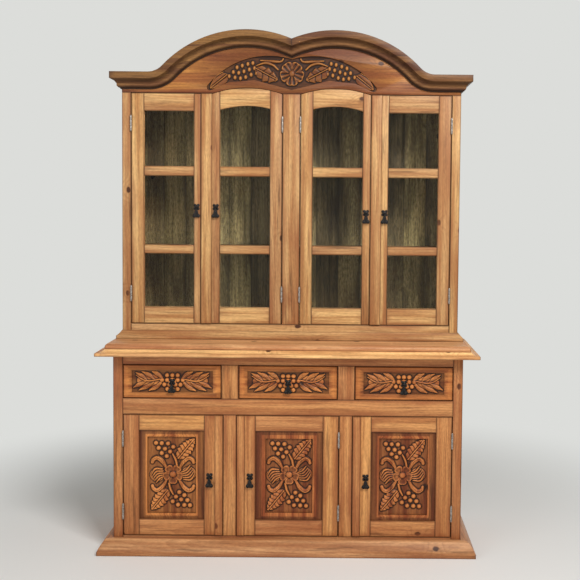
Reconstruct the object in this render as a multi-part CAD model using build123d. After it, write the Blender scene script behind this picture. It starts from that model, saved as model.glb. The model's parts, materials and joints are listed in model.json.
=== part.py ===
"""Two-piece pine cabinet: a buffet with three drawers and three panelled doors, and a glazed
hutch that stands on its counter under a double-arched crown.

Millimetres. +X is to the right of someone who faces the cabinet, +Y runs to its back and +Z is up.
The origin is at the middle of the footprint, on the floor.
"""

from build123d import *
from math import sqrt
import os

# ---------------------------------------------------------------- driving dimensions: buffet
counter_depth = 490.0  # nosing to back, the deepest the cabinet gets
counter_overhang = 60.0  # nosing past the front and the sides of the buffet
counter_board_thickness = 22.0
counter_moulding_drop = 25.0  # how far the edge moulding hangs below the counter board
counter_board_overhang = 27.0  # the board's own edge, seen above the moulding
counter_board_round = 14.0  # radius along its top edge, front and sides
counter_nosing_height = 13.0  # square edge at the outside of the moulding
counter_nosing_flat = 4.0  # flat on top of that edge
buffet_width = 1396.0
frame_thickness = 22.0  # posts and rails of both face frames
side_thickness = 20.0
back_thickness = 12.0
back_board_width = 96.0
back_board_gap = 1.0  # seen between two boards; the tongue behind it closes it
back_tongue_thickness = 4.0
back_tongue_length = 5.0  # how far a tongue enters the next board
back_tongue_clearance = 1.0  # end of the tongue to the bottom of its groove
buffet_post_width = 38.0
buffet_inner_post_width = 52.0
buffet_inner_post_centre = 232.0
drawer_divider_width = 67.0
buffet_bottom_rail = 66.0
buffet_opening_height = 492.0
buffet_mid_rail = 64.0
drawer_opening_height = 137.0
buffet_top_rail = 39.0  # the part of it that shows under the counter moulding
board_thickness = 18.0  # floors, shelves and the roof
buffet_shelf_height = 300.0  # underside, above the floor that the cabinet stands on
shelf_setback = 26.0  # shelf fronts behind the face frame's back
base_height = 60.0
base_projection = 56.0
base_shelf = 26.0  # flat top of the base moulding, outside the buffet
base_foot = 17.0  # plain band at its foot

# ---------------------------------------------------------------- driving dimensions: hutch
hutch_setback = 125.0  # hutch front behind the buffet front
hutch_width = 1378.0
hutch_side_thickness = 18.0
hutch_post_width = 35.5
hutch_centre_post = 70.0
hutch_bottom_rail = 62.0
hutch_opening_height = 942.0
hutch_moulding_height = 34.0
hutch_moulding_foot = 13.5  # its upright face, under the hollow slope
hutch_moulding_projection = 22.0
roof_above_opening = 31.0
shelf_in_muntin = 9.0  # shelf underside above the underside of the muntin in front of it

# ---------------------------------------------------------------- driving dimensions: crown
shoulder_above_opening = 79.0
crown_rise = 172.0  # arch top above the shoulders
crown_arch_centre = 178.0
crown_arch_radius = 470.0
crown_fillet_radius = 80.0
crown_projection = 42.0
crown_height = 66.0
crown_rebate = 10.0  # how far the crown laps over the top edge of the pediment board
crown_fascia = 27.0
crown_band = 17.5  # how far the band under the hollow stands out
pediment_arch_half_span = 142.0
pediment_arch_rise = 23.5
spray_above_opening = 82.0  # middle of the carved flower, above the top of the doors
spray_reach = 343.0  # how far the carved ground goes to each side
spray_top = 58.0  # top of the carved ground, above the flower's middle
spray_bottom = 66.0  # its lowest point in the middle, below the flower's middle
spray_depth = 7.0

# ---------------------------------------------------------------- driving dimensions: doors
door_gap = 2.0
hinge_gap = 3.0
door_back_clearance = 0.5  # door backs stay this far in front of the face frame's back
door_thickness = frame_thickness - door_back_clearance
strip_width = 44.0  # cover strip on the latch stile of a right-hand hutch door
strip_thickness = 7.0
hutch_pair_joint = 346.0  # middle of the cover strip, from the cabinet's centre
outer_pane_outside = 600.0
outer_pane_inside = 396.0
inner_pane_outside = 291.5
inner_pane_inside = 86.5
hutch_top_rail = 70.5
hutch_door_bottom_rail = 67.0
bottom_light_height = 219.0
low_muntin_height = 36.0
middle_light_height = 282.0
high_muntin_height = 40.0
muntin_recess = 2.0
muntin_chamfer = 4.0
rabbet_width = 7.0
rabbet_depth = 10.0
glass_thickness = 3.0
buffet_hinge_stile = 62.0
buffet_latch_stile = 74.0
latch_lip_width = 32.0  # raised strip along the latch stile of a buffet door
latch_lip_thickness = 4.0
buffet_door_top_rail = 63.0
buffet_door_bottom_rail = 64.0
groove_depth = 8.0
groove_width = 8.0
groove_setback = 7.0  # groove behind the door's front
panel_clearance = 0.2
panel_side_bevel = 26.0
panel_end_bevel = 15.0
panel_face_setback = 1.0  # raised border behind the door's front
panel_border = 15.0
panel_field_depth = 8.0

# ---------------------------------------------------------------- driving dimensions: drawers
drawer_front_thickness = 22.0
drawer_side_thickness = 12.0
drawer_box_height = 100.0
drawer_back_clearance = 34.0  # from the box to the cabinet's back boards
drawer_bottom_thickness = 6.0
drawer_bottom_rise = 8.0
drawer_side_clearance = 5.0
drawer_running_gap = 0.3
runner_height = 12.0
guide_width = 12.0
guide_height = 30.0
drawer_frame_side = 34.0  # moulded border of a drawer front, left and right
drawer_frame_end = 23.0  # the same, top and bottom
drawer_rim_bevel = 3.0
drawer_slope_width = 16.0  # slope from the border down to the sunk field
drawer_slope_depth = 4.0
drawer_field_depth = 8.0
drawer_pull_pad = 15.0

# ---------------------------------------------------------------- driving dimensions: ironwork
hinge_height = 60.0
hinge_leaf_depth = 19.0
hinge_leaf_thickness = 1.2
hinge_radius = 4.0
hinge_pin_radius = 1.8
hinge_pin_proud = 0.3  # knuckle clear of the door's front
hinge_bore_clearance = 0.06
knuckle_gap = 0.3
knuckle_share = 0.3  # each outer knuckle, as a share of the hinge's height
knuckle_side_count = 8
hutch_hinge_inset = 124.0  # hinge middle from the door's top and bottom
buffet_hinge_inset = 98.0
pull_plate_thickness = 2.5
pull_lobe_radius = 6.0
pull_lobe_offset = 6.6
pull_boss_radius = 8.0
pull_ear_thickness = 2.0
pull_ear_width = 6.0
pull_pin_radius = 1.5
pull_pin_reach = 8.0  # pin axis in front of the plate
pull_eye_radius = 3.2
pull_eye_length = 7.0
pull_eye_clearance = 0.3
pull_bore_clearance = 0.08
forged_side_count = 6
drop_thickness = 4.0
drop_length = 44.0
drop_half_width = 16.5
drop_neck = 3.0
drop_lobe_radius = 7.0
hutch_pull_height = 480.0  # above the bottom of the hutch doors
right_pair_lower_by = 18.0  # the right-hand pair's pulls sit this much lower
buffet_pull_height = 243.0  # above the bottom of the buffet doors
catch_width = 44.0
catch_height = 26.0
catch_depth = 14.0
catch_overlap = 12.0  # how far a catch reaches down behind its door

# ---------------------------------------------------------------- places that follow from them
counter_width = buffet_width + 2 * counter_overhang
half_buffet = buffet_width / 2
half_hutch = hutch_width / 2
back_y = counter_depth / 2
buffet_front = -counter_depth / 2 + counter_overhang
hutch_front = buffet_front + hutch_setback
buffet_inside_y = buffet_front + frame_thickness
hutch_inside_y = hutch_front + frame_thickness
back_face_y = back_y - back_thickness

buffet_door_bottom = buffet_bottom_rail
buffet_door_top = buffet_door_bottom + buffet_opening_height
drawer_low = buffet_door_top + buffet_mid_rail
drawer_high = drawer_low + drawer_opening_height
counter_low = drawer_high + buffet_top_rail
carcase_top = counter_low + counter_moulding_drop
counter_top = carcase_top + counter_board_thickness
hutch_low = counter_top + hutch_bottom_rail
hutch_high = hutch_low + hutch_opening_height
roof_low = hutch_high + roof_above_opening
roof_high = roof_low + board_thickness
shoulder_top = hutch_high + shoulder_above_opening
crown_top = shoulder_top + crown_rise

nodes = {}


def add(name, *shapes):
    """Puts the solids of the shapes under a node's name."""
    for shape in shapes:
        nodes.setdefault(name, []).extend(shape.solids())


def board(x, y, z):
    """A board that fills the given low and high limits on each axis."""
    size = Box(x[1] - x[0], y[1] - y[0], z[1] - z[0])
    return Pos(sum(x) / 2, sum(y) / 2, sum(z) / 2) * size


def both_sides(shape):
    """A shape and its mirror image across the cabinet's middle."""
    return [shape, mirror(shape, about=Plane.YZ)]


def prism(edges, depth):
    """Extrudes a closed outline, drawn at its front, towards the back."""
    return extrude(make_face(edges), amount=depth, dir=(0, 1, 0))


# ---------------------------------------------------------------- straight mouldings
def mitred_moulding(outline, half_width, front, reach):
    """Front and side lengths of a moulding that goes round three sides, mitred at the corners.

    outline maps a plane, whose X points outwards and whose Y points up, to the profile's face.
    """
    long = half_width + reach + 1
    front_plane = Plane(origin=(long, front, 0), x_dir=(0, -1, 0), z_dir=(-1, 0, 0))
    side_plane = Plane(origin=(half_width, back_y, 0), x_dir=(1, 0, 0), z_dir=(0, -1, 0))
    wedge = extrude(
        make_face(
            Polyline(
                (-half_width - reach, front - reach),
                (half_width + reach, front - reach),
                (half_width - reach, front + reach),
                (reach - half_width, front + reach),
                close=True,
            )
        ),
        amount=crown_top,
    )
    front_length = extrude(outline(front_plane), amount=2 * long, dir=(-1, 0, 0)) & wedge
    side_run = back_y - front + reach
    side_length = extrude(outline(side_plane), amount=side_run, dir=(0, -1, 0)) - wedge
    return [front_length, *both_sides(side_length)]


def counter_moulding_face(plane):
    """Cove that runs out from under the counter board to a square nosing."""
    low = counter_low
    high = carcase_top
    start = (counter_board_overhang, high)
    end = (counter_overhang - counter_nosing_flat, low + counter_nosing_height)
    middle = (start[0] + (end[0] - start[0]) * 0.35, end[1] + (high - end[1]) * 0.3)
    edges = [
        Line((0, low), (0, high)),
        Line((0, high), start),
        ThreePointArc(start, middle, end),
        Line(end, (counter_overhang, end[1])),
        Line((counter_overhang, end[1]), (counter_overhang, low)),
        Line((counter_overhang, low), (0, low)),
    ]
    return plane * make_face(edges)


def base_moulding_face(plane):
    """Flat top, a barely rounded slope down to a square quirk, and a plain foot."""
    quirk = 2.0
    toe = base_projection - quirk
    edges = [
        Line((0, 0), (0, base_height)),
        Line((0, base_height), (base_shelf, base_height)),
        ThreePointArc(
            (base_shelf, base_height),
            (base_shelf + (toe - base_shelf) * 0.53, base_height - (base_height - base_foot) * 0.42),
            (toe, base_foot + quirk),
        ),
        Line((toe, base_foot + quirk), (toe, base_foot)),
        Line((toe, base_foot), (base_projection, base_foot)),
        Line((base_projection, base_foot), (base_projection, 0)),
        Line((base_projection, 0), (0, 0)),
    ]
    return plane * make_face(edges)


def hutch_moulding_face(plane):
    """Slightly hollow slope over a square foot, where the hutch meets the counter."""
    low = counter_top
    high = low + hutch_moulding_height
    foot = low + hutch_moulding_foot
    reach = hutch_moulding_projection
    start = (reach * 0.1, high)
    edges = [
        Line((0, low), (0, high)),
        Line((0, high), start),
        ThreePointArc(start, (reach * 0.47, foot + (high - foot) * 0.47), (reach, foot)),
        Line((reach, foot), (reach, low)),
        Line((reach, low), (0, low)),
    ]
    return plane * make_face(edges)


# ---------------------------------------------------------------- crown and pediment
def crown_line(offset, past_middle=0.0):
    """Right half of the double-arched line, moved inwards by offset, from the shoulder to the middle.

    Returns the shoulder's inner end, a point on the hollow, where the curves meet, a point on the
    arch, and the arch's end.
    """
    arch_x, arch_z = crown_arch_centre, crown_top - crown_arch_radius
    arch_r = crown_arch_radius - offset
    hollow_r = crown_fillet_radius + offset
    hollow_z = shoulder_top + crown_fillet_radius
    between = crown_arch_radius + crown_fillet_radius
    hollow_x = arch_x + sqrt(between**2 - (hollow_z - arch_z) ** 2)
    toward = ((hollow_x - arch_x) / between, (hollow_z - arch_z) / between)
    meet = (arch_x + toward[0] * arch_r, arch_z + toward[1] * arch_r)
    mid = (-toward[0], -1 - toward[1])
    mid_length = sqrt(mid[0] ** 2 + mid[1] ** 2)
    on_hollow = (
        hollow_x + mid[0] / mid_length * hollow_r,
        hollow_z + mid[1] / mid_length * hollow_r,
    )
    end = (-past_middle, arch_z + sqrt(arch_r**2 - (arch_x + past_middle) ** 2))
    return (hollow_x, shoulder_top - offset), on_hollow, meet, (arch_x, arch_z + arch_r), end


def at(y, point):
    """A point of a front view, put at depth y."""
    return (point[0], y, point[1])


def crown_profile(plane):
    """Fascia over a hollow, a band under it and a rounded foot, rebated over the board behind."""
    out = crown_projection
    hollow_low = -crown_height * 0.69
    hollow_turn = (
        crown_band + (out - crown_band) * 0.38,
        -crown_fascia + (hollow_low + crown_fascia) * 0.36,
    )
    corners = [
        (-frame_thickness, 0),
        (out, 0),
        (out, -crown_fascia),
        hollow_turn,
        (crown_band, hollow_low),
        (crown_band, -crown_height * 0.81),
        (crown_band * 0.75, -crown_height * 0.9),
        (crown_band * 0.3, -crown_height * 0.95),
        (crown_band * 0.3, -crown_height),
        (0, -crown_height),
        (0, -crown_rebate),
        (-frame_thickness, -crown_rebate),
    ]
    return plane * make_face(Polyline(*corners, close=True))


def crown_moulding():
    """Two swept halves that meet in the dip, and a straight return down each side."""
    tip = half_hutch + crown_projection
    start = (tip + 1, shoulder_top)
    lean = crown_height / 2  # the profile leans over the middle, so each half runs past it
    shoulder, on_hollow, meet, top, end = crown_line(0, past_middle=lean)
    path = Wire(
        [
            Line(at(hutch_front, start), at(hutch_front, shoulder)).edge(),
            ThreePointArc(
                at(hutch_front, shoulder), at(hutch_front, on_hollow), at(hutch_front, meet)
            ).edge(),
            ThreePointArc(at(hutch_front, meet), at(hutch_front, top), at(hutch_front, end)).edge(),
        ]
    )
    plane = Plane(origin=at(hutch_front, start), x_dir=(0, -1, 0), z_dir=(-1, 0, 0))
    run = sweep(crown_profile(plane), path=path)
    corner = make_face(
        Polyline(
            (0, hutch_front - crown_projection - 1),
            (tip + 1, hutch_front - crown_projection - 1),
            (half_hutch - frame_thickness, hutch_front + frame_thickness),
            (0, hutch_front + frame_thickness),
            close=True,
        )
    )
    wedge = extrude(corner, amount=2 * crown_top)
    front_half = run & wedge
    side_plane = Plane(origin=(half_hutch, back_y, shoulder_top), x_dir=(1, 0, 0), z_dir=(0, -1, 0))
    side_run = back_y - hutch_front + crown_projection + 1
    return_length = extrude(crown_profile(side_plane), amount=side_run, dir=(0, -1, 0)) - wedge
    return both_sides(front_half) + both_sides(return_length)


def arch_radius(half_span, rise):
    """Radius of an arc from its half chord and its rise."""
    return (half_span**2 + rise**2) / (2 * rise)


def pediment_board():
    """Board behind the crown, arched over the two inner doors."""
    shoulder, on_hollow, meet, top, end = crown_line(crown_rebate)
    arch_low = crown_arch_centre - pediment_arch_half_span
    arch_high = crown_arch_centre + pediment_arch_half_span
    y = hutch_front
    half = [
        Line(at(y, end), (0, y, hutch_high)),
        Line((0, y, hutch_high), (arch_low, y, hutch_high)),
        ThreePointArc(
            (arch_low, y, hutch_high),
            (crown_arch_centre, y, hutch_high + pediment_arch_rise),
            (arch_high, y, hutch_high),
        ),
        Line((arch_high, y, hutch_high), (half_hutch, y, hutch_high)),
        Line((half_hutch, y, hutch_high), (half_hutch, y, shoulder_top - crown_rebate)),
        Line((half_hutch, y, shoulder_top - crown_rebate), at(y, shoulder)),
        ThreePointArc(at(y, shoulder), at(y, on_hollow), at(y, meet)),
        ThreePointArc(at(y, meet), at(y, top), at(y, end)),
    ]
    right = prism(half, frame_thickness) - sunk_ground()
    left = mirror(right, about=Plane.YZ)
    return right + left


def sunk_ground():
    """Right half of the ground cut back round the carved spray of flower, leaves and grapes."""
    y = hutch_front
    middle = hutch_high + spray_above_opening
    top = middle + spray_top
    low = middle - spray_bottom
    tip = (spray_reach, y, middle - spray_bottom * 0.78)
    toe = (spray_reach * 0.965, y, low - spray_bottom * 0.08)
    heel = (spray_reach * 0.755, y, middle - spray_bottom * 0.58)
    waist = (spray_reach * 0.44, y, middle - spray_bottom * 0.42)
    leaf_low = (spray_reach * 0.21, y, middle - spray_bottom * 0.72)
    edges = [
        Line((0, y, low), (0, y, top)),
        ThreePointArc((0, y, top), (spray_reach * 0.69, y, middle + spray_top * 0.62), tip),
        ThreePointArc(tip, (spray_reach * 1.002, y, low + spray_bottom * 0.03), toe),
        Line(toe, heel),
        Line(heel, waist),
        Line(waist, leaf_low),
        Line(leaf_low, (0, y, low)),
    ]
    return prism(edges, spray_depth)


# ---------------------------------------------------------------- carcases
def buffet_carcase():
    """Face frame, sides, back, floor, shelf, and what carries the drawers."""
    depth = (buffet_front, buffet_inside_y)
    inner = half_buffet - buffet_post_width
    posts = board((inner, half_buffet), depth, (0, carcase_top))
    add("buffet_face_frame", *both_sides(posts))
    for low, high in (
        (0, buffet_door_bottom),
        (buffet_door_top, drawer_low),
        (drawer_high, carcase_top),
    ):
        add("buffet_face_frame", board((-inner, inner), depth, (low, high)))
    for width, low, high in (
        (buffet_inner_post_width, buffet_door_bottom, buffet_door_top),
        (drawer_divider_width, drawer_low, drawer_high),
    ):
        span = (buffet_inner_post_centre - width / 2, buffet_inner_post_centre + width / 2)
        add("buffet_face_frame", *both_sides(board(span, depth, (low, high))))

    inside = half_buffet - side_thickness
    side = board((inside, half_buffet), (buffet_inside_y, back_y), (0, carcase_top))
    add("buffet_sides", *both_sides(side))
    floor_z = (buffet_door_bottom - board_thickness, buffet_door_bottom)
    add("buffet_floor", board((-inside, inside), (buffet_inside_y, back_face_y), floor_z))
    add("buffet_back_boards", *back_boards(inside, floor_z[0], carcase_top))
    shelf_z = (buffet_shelf_height, buffet_shelf_height + board_thickness)
    shelf_y = (buffet_inside_y + shelf_setback, back_face_y)
    add("shelves", board((-inside, inside), shelf_y, shelf_z))
    run_y = (buffet_inside_y, back_face_y)
    runner_z = (drawer_low - runner_height, drawer_low)
    guide_z = (drawer_low, drawer_low + guide_height)
    for low, high in drawer_bays():
        for wall, inwards in ((low, 1), (high, -1)):
            outside = wall - inwards * guide_width
            inner_edge = wall + inwards * (drawer_side_clearance + drawer_side_thickness)
            add(
                "drawer_runners",
                board(sorted((outside, inner_edge)), run_y, runner_z),
                board(sorted((outside, wall)), run_y, guide_z),
            )


def back_boards(inside, low, high):
    """Equal vertical boards that fill the back between two sides, tongued into one another."""
    count = round(2 * inside / back_board_width)
    pitch = (2 * inside + back_board_gap) / count
    middle = (back_face_y + back_y) / 2
    tongue_y = (middle - back_tongue_thickness / 2, middle + back_tongue_thickness / 2)
    boards = []
    for index in range(count):
        left = -inside + index * pitch
        right = left + pitch - back_board_gap
        plank = board((left, right), (back_face_y, back_y), (low, high))
        if index > 0:
            groove = (left, left + back_tongue_length + back_tongue_clearance)
            plank -= board(groove, tongue_y, (low, high))
        if index < count - 1:
            tongue = (right, right + back_board_gap + back_tongue_length)
            plank += board(tongue, tongue_y, (low, high))
        boards.append(plank)
    return boards


def drawer_bays():
    """Left and right limits of the three drawer openings."""
    edge = half_buffet - buffet_post_width
    near = buffet_inner_post_centre - drawer_divider_width / 2
    far = buffet_inner_post_centre + drawer_divider_width / 2
    return [(-edge, -far), (-near, near), (far, edge)]


def counter():
    """Counter board on the carcase, round along its top edge, with its edge moulding underneath."""
    out = half_buffet + counter_board_overhang
    board_z = (counter_top - counter_board_thickness, counter_top)
    board_y = (buffet_front - counter_board_overhang, back_y)
    top = board((-out, out), board_y, board_z)
    top_edges = top.faces().sort_by(Axis.Z)[-1].edges().sort_by(Axis.Y)[:-1]
    add("counter_board", fillet(top_edges, counter_board_round))
    add(
        "counter_moulding",
        *mitred_moulding(counter_moulding_face, half_buffet, buffet_front, counter_overhang),
    )


def hutch_carcase():
    """Face frame, sides, back, floor, shelves and roof of the hutch."""
    depth = (hutch_front, hutch_inside_y)
    inner = half_hutch - hutch_post_width
    post = board((inner, half_hutch), depth, (counter_top, hutch_high))
    add("hutch_face_frame", *both_sides(post))
    add("hutch_face_frame", board((-inner, inner), depth, (counter_top, hutch_low)))
    half_post = hutch_centre_post / 2
    add("hutch_face_frame", board((-half_post, half_post), depth, (hutch_low, hutch_high)))

    inside = half_hutch - hutch_side_thickness
    side_z = (counter_top, shoulder_top - crown_rebate)
    side = board((inside, half_hutch), (hutch_inside_y, back_y), side_z)
    add("hutch_sides", *both_sides(side))
    across = (-inside, inside)
    inner_y = (hutch_inside_y, back_face_y)
    add("hutch_floor_and_roof", board(across, inner_y, (hutch_low - board_thickness, hutch_low)))
    add("hutch_floor_and_roof", board(across, inner_y, (roof_low, roof_high)))
    add("hutch_back_boards", *back_boards(inside, counter_top, roof_high))
    shelf_y = (hutch_inside_y + shelf_setback / 2, back_face_y)
    for muntin_low, _ in muntins():
        low = muntin_low + shelf_in_muntin
        add("shelves", board(across, shelf_y, (low, low + board_thickness)))


# ---------------------------------------------------------------- hutch doors
def muntins():
    """Low and high limits of the two glazing bars."""
    low_bar = hutch_low + door_gap + hutch_door_bottom_rail + bottom_light_height
    high_bar = low_bar + low_muntin_height + middle_light_height
    return [(low_bar, low_bar + low_muntin_height), (high_bar, high_bar + high_muntin_height)]


def arched_outline(x, low, high, inset):
    """Front outline of an arched door, or of its glass, inside the pediment's arch by inset.

    x holds the left and right limits. The arch is concentric with the one in the pediment.
    """
    middle = crown_arch_centre if x[1] > 0 else -crown_arch_centre
    radius = arch_radius(pediment_arch_half_span, pediment_arch_rise)
    centre_z = hutch_high + pediment_arch_rise - radius
    inner_radius = radius - inset
    flat = hutch_high - inset

    def arc_height(along):
        return centre_z + sqrt(max(inner_radius**2 - (along - middle) ** 2, 0))

    reach = sqrt(inner_radius**2 - (flat - centre_z) ** 2)
    left = max(x[0], middle - reach)
    right = min(x[1], middle + reach)
    y = hutch_front
    edges = [Line((x[0], y, low), (x[0], y, arc_height(left)))]
    if left > x[0]:
        edges.append(Line((x[0], y, flat), (left, y, flat)))
    edges.append(
        ThreePointArc(
            (left, y, arc_height(left)),
            (middle, y, centre_z + inner_radius),
            (right, y, arc_height(right)),
        )
    )
    if right < x[1]:
        edges.append(Line((right, y, flat), (x[1], y, flat)))
    edges.append(Line((x[1], y, arc_height(right)), (x[1], y, low)))
    edges.append(Line((x[1], y, low), (x[0], y, low)))
    return prism(edges, frame_thickness)


def hutch_door(name, x, pane, arched, strip):
    """Glazed door between the limits x, with its pane between the limits of pane.

    strip is True for the right-hand door of a pair, which carries the cover strip.
    """
    low = hutch_low + door_gap
    high = hutch_high - door_gap
    pane_low = low + hutch_door_bottom_rail
    pane_high = high - hutch_top_rail
    peak = hutch_high + pediment_arch_rise if arched else high
    y = (hutch_front, hutch_front + door_thickness)
    outline = arched_outline(x, low, high, door_gap) if arched else board(x, y, (low, high))

    rabbet_y = (y[1] - rabbet_depth, y[1])
    glass_x = (pane[0] - rabbet_width, pane[1] + rabbet_width)
    glass_low = pane_low - rabbet_width
    if arched:
        top_inset = door_gap + hutch_top_rail
        window = arched_outline(pane, pane_low, pane_high, top_inset)
        rabbet_shape = arched_outline(glass_x, glass_low, pane_high, top_inset - rabbet_width)
    else:
        window = board(pane, y, (pane_low, pane_high))
        rabbet_shape = board(glass_x, y, (glass_low, pane_high + rabbet_width))
    rabbet = rabbet_shape & board(glass_x, rabbet_y, (glass_low, peak))

    stiles = [
        board((x[0], pane[0]), y, (low, peak)),
        board((pane[1], x[1]), y, (low, peak)),
    ]
    rails = [
        board(pane, y, (low, pane_low)),
        board(pane, y, (pane_high - 1, peak)) - window,
    ]
    add(name + "_frame", *[(piece & outline) - rabbet for piece in stiles + rails])
    bar_y = (y[0] + muntin_recess, rabbet_y[0])
    for bar in muntins():
        solid = board(pane, bar_y, bar)
        front = solid.faces().sort_by(Axis.Y)[0]
        long_edges = front.edges().filter_by(Axis.X)
        add(name + "_frame", chamfer(long_edges, muntin_chamfer))
    if strip:
        strip_x = (x[0], x[0] + strip_width)
        cover = board(strip_x, (y[0] - strip_thickness, y[0]), (low, high))
        edges = cover.faces().sort_by(Axis.Y)[0].edges().filter_by(Axis.Z)
        add(name + "_frame", chamfer(edges, strip_thickness * 0.4))

    glass_y = (rabbet_y[0], rabbet_y[0] + glass_thickness)
    sheet = rabbet_shape & board(glass_x, glass_y, (glass_low, peak))
    add(name + "_glass", sheet)
    bead_y = (glass_y[1], y[1])
    bead_ring = rabbet_shape - window
    beads = bead_ring & board(glass_x, bead_y, (glass_low, peak))
    add(name + "_frame", beads)


# ---------------------------------------------------------------- buffet doors
def raised_panel(x, z, front):
    """Panel with a bevelled margin and a sunk field inside its border, tongued all round."""
    tongue_y = (
        front + groove_setback + panel_clearance,
        front + groove_setback + groove_width - panel_clearance,
    )
    lap = groove_depth - panel_clearance
    tongue = board((x[0] - lap, x[1] + lap), tongue_y, (z[0] - lap, z[1] + lap))
    face_y = front + panel_face_setback
    margin = panel_clearance
    back_plane = Plane(
        origin=(sum(x) / 2, tongue_y[0], sum(z) / 2), x_dir=(1, 0, 0), z_dir=(0, -1, 0)
    )
    width = x[1] - x[0]
    height = z[1] - z[0]
    foot = back_plane * Rectangle(width - 2 * margin, height - 2 * margin)
    crest = back_plane.offset(tongue_y[0] - face_y) * Rectangle(
        width - 2 * panel_side_bevel, height - 2 * panel_end_bevel
    )
    raised = loft([foot.face(), crest.face()])
    field_x = (x[0] + panel_side_bevel + panel_border, x[1] - panel_side_bevel - panel_border)
    field_z = (z[0] + panel_end_bevel + panel_border, z[1] - panel_end_bevel - panel_border)
    pocket = board(field_x, (face_y, face_y + panel_field_depth), field_z)
    return (tongue + raised) - pocket


def buffet_door(name, x, latch_left):
    """Panelled door between the limits x. The latch stile is the wide one, with a raised lip."""
    low = buffet_door_bottom + door_gap
    high = buffet_door_top - door_gap
    y = (buffet_front, buffet_front + door_thickness)
    left_width = buffet_latch_stile if latch_left else buffet_hinge_stile
    right_width = buffet_hinge_stile if latch_left else buffet_latch_stile
    panel_x = (x[0] + left_width, x[1] - right_width)
    panel_z = (low + buffet_door_bottom_rail, high - buffet_door_top_rail)
    groove = board(
        (panel_x[0] - groove_depth, panel_x[1] + groove_depth),
        (y[0] + groove_setback, y[0] + groove_setback + groove_width),
        (panel_z[0] - groove_depth, panel_z[1] + groove_depth),
    )
    members = [
        board((x[0], panel_x[0]), y, (low, high)),
        board((panel_x[1], x[1]), y, (low, high)),
        board(panel_x, y, (low, panel_z[0])),
        board(panel_x, y, (panel_z[1], high)),
    ]
    add(name + "_frame", *[member - groove for member in members])
    lip_x = (x[0], x[0] + latch_lip_width) if latch_left else (x[1] - latch_lip_width, x[1])
    lip = board(lip_x, (y[0] - latch_lip_thickness, y[0]), (low, high))
    edges = lip.faces().sort_by(Axis.Y)[0].edges().filter_by(Axis.Z)
    add(name + "_frame", chamfer(edges, latch_lip_thickness * 0.4))
    add(name + "_panel", raised_panel(panel_x, panel_z, y[0]))


# ---------------------------------------------------------------- drawers
def drawer(name, bay):
    """Framed and sunk front with a dovetail-size box behind it."""
    x = (bay[0] + door_gap, bay[1] - door_gap)
    z = (drawer_low + door_gap, drawer_high - door_gap)
    front_y = (buffet_front, buffet_front + drawer_front_thickness)
    middle_x = sum(x) / 2
    middle_z = sum(z) / 2
    slab = board(x, front_y, z)
    rim = slab.faces().sort_by(Axis.Y)[0].edges()
    slab = chamfer(rim, drawer_rim_bevel)
    field_x = (x[0] + drawer_frame_side, x[1] - drawer_frame_side)
    field_z = (z[0] + drawer_frame_end, z[1] - drawer_frame_end)
    sight = Plane(origin=(middle_x, front_y[0], middle_z), x_dir=(1, 0, 0), z_dir=(0, -1, 0))
    field_size = (field_x[1] - field_x[0], field_z[1] - field_z[0])
    mouth = sight * Rectangle(
        field_size[0] + 2 * drawer_slope_width, field_size[1] + 2 * drawer_slope_width
    )
    throat = sight.offset(-drawer_slope_depth) * Rectangle(*field_size)
    floor_y = front_y[0] + drawer_field_depth
    sunk = board(field_x, (front_y[0], floor_y), field_z) + loft([mouth.face(), throat.face()])
    pad_plane = Plane(origin=(middle_x, floor_y, middle_z), x_dir=(1, 0, 0), z_dir=(0, -1, 0))
    pad = extrude(pad_plane * Circle(drawer_pull_pad), amount=drawer_field_depth)
    add(name + "_front", (slab - sunk) + pad)

    wall = drawer_side_thickness
    box_x = (bay[0] + drawer_side_clearance, bay[1] - drawer_side_clearance)
    box_y = (front_y[1], back_face_y - drawer_back_clearance)
    box_z = (drawer_low + drawer_running_gap, drawer_low + drawer_running_gap + drawer_box_height)
    inner_x = (box_x[0] + wall, box_x[1] - wall)
    bottom_z = (box_z[0] + drawer_bottom_rise, box_z[0] + drawer_bottom_rise + drawer_bottom_thickness)
    add(
        name + "_box",
        board((box_x[0], inner_x[0]), box_y, box_z),
        board((inner_x[1], box_x[1]), box_y, box_z),
        board(inner_x, (box_y[1] - wall, box_y[1]), box_z),
        board(inner_x, (box_y[0], box_y[1] - wall), bottom_z),
    )
    add_pull(name, middle_x, middle_z, front_y[0], name + "_pull_plate")


# ---------------------------------------------------------------- hinges
def hinge(x, z, front, hand):
    """Butt hinge in the gap beside a door: the fixed leaf, pinned for good, and the door's leaf.

    x is the middle of the gap. hand is 1 for a door on the hinge's right and -1 on its left.
    """
    pin_y = front - hinge_radius - hinge_pin_proud
    low = z - hinge_height / 2
    outer = hinge_height * knuckle_share
    fixed_spans = [(low, low + outer), (low + hinge_height - outer, low + hinge_height)]
    door_span = (fixed_spans[0][1] + knuckle_gap, fixed_spans[1][0] - knuckle_gap)
    near = hinge_gap / 2 - hinge_leaf_thickness
    far = hinge_gap / 2
    leaf_y = (front, front + hinge_leaf_depth)

    def leaf(side, spans):
        plate_x = sorted((x + side * near, x + side * far))
        made = board(plate_x, leaf_y, (low, low + hinge_height))
        for span in spans:
            foot = Plane(origin=(x, pin_y, span[0]))
            outline = foot * RegularPolygon(hinge_radius, knuckle_side_count)
            knuckle = extrude(outline, span[1] - span[0])
            made = made + board(plate_x, (pin_y, front), span) + knuckle
        return made

    pin = Pos(x, pin_y, z) * Cylinder(hinge_pin_radius, hinge_height)
    bore = Pos(x, pin_y, z) * Cylinder(hinge_pin_radius + hinge_bore_clearance, hinge_height)
    return leaf(-hand, fixed_spans) + pin, leaf(hand, [door_span]) - bore


def add_hinges(door, x, low, high, inset, front, hand):
    """Two hinges for a door that opens between the heights low and high."""
    for z in (low + inset, high - inset):
        fixed, moving = hinge(x, z, front, hand)
        add("hinge_frame_leaves", fixed)
        add(door + "_ironwork", moving)


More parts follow.
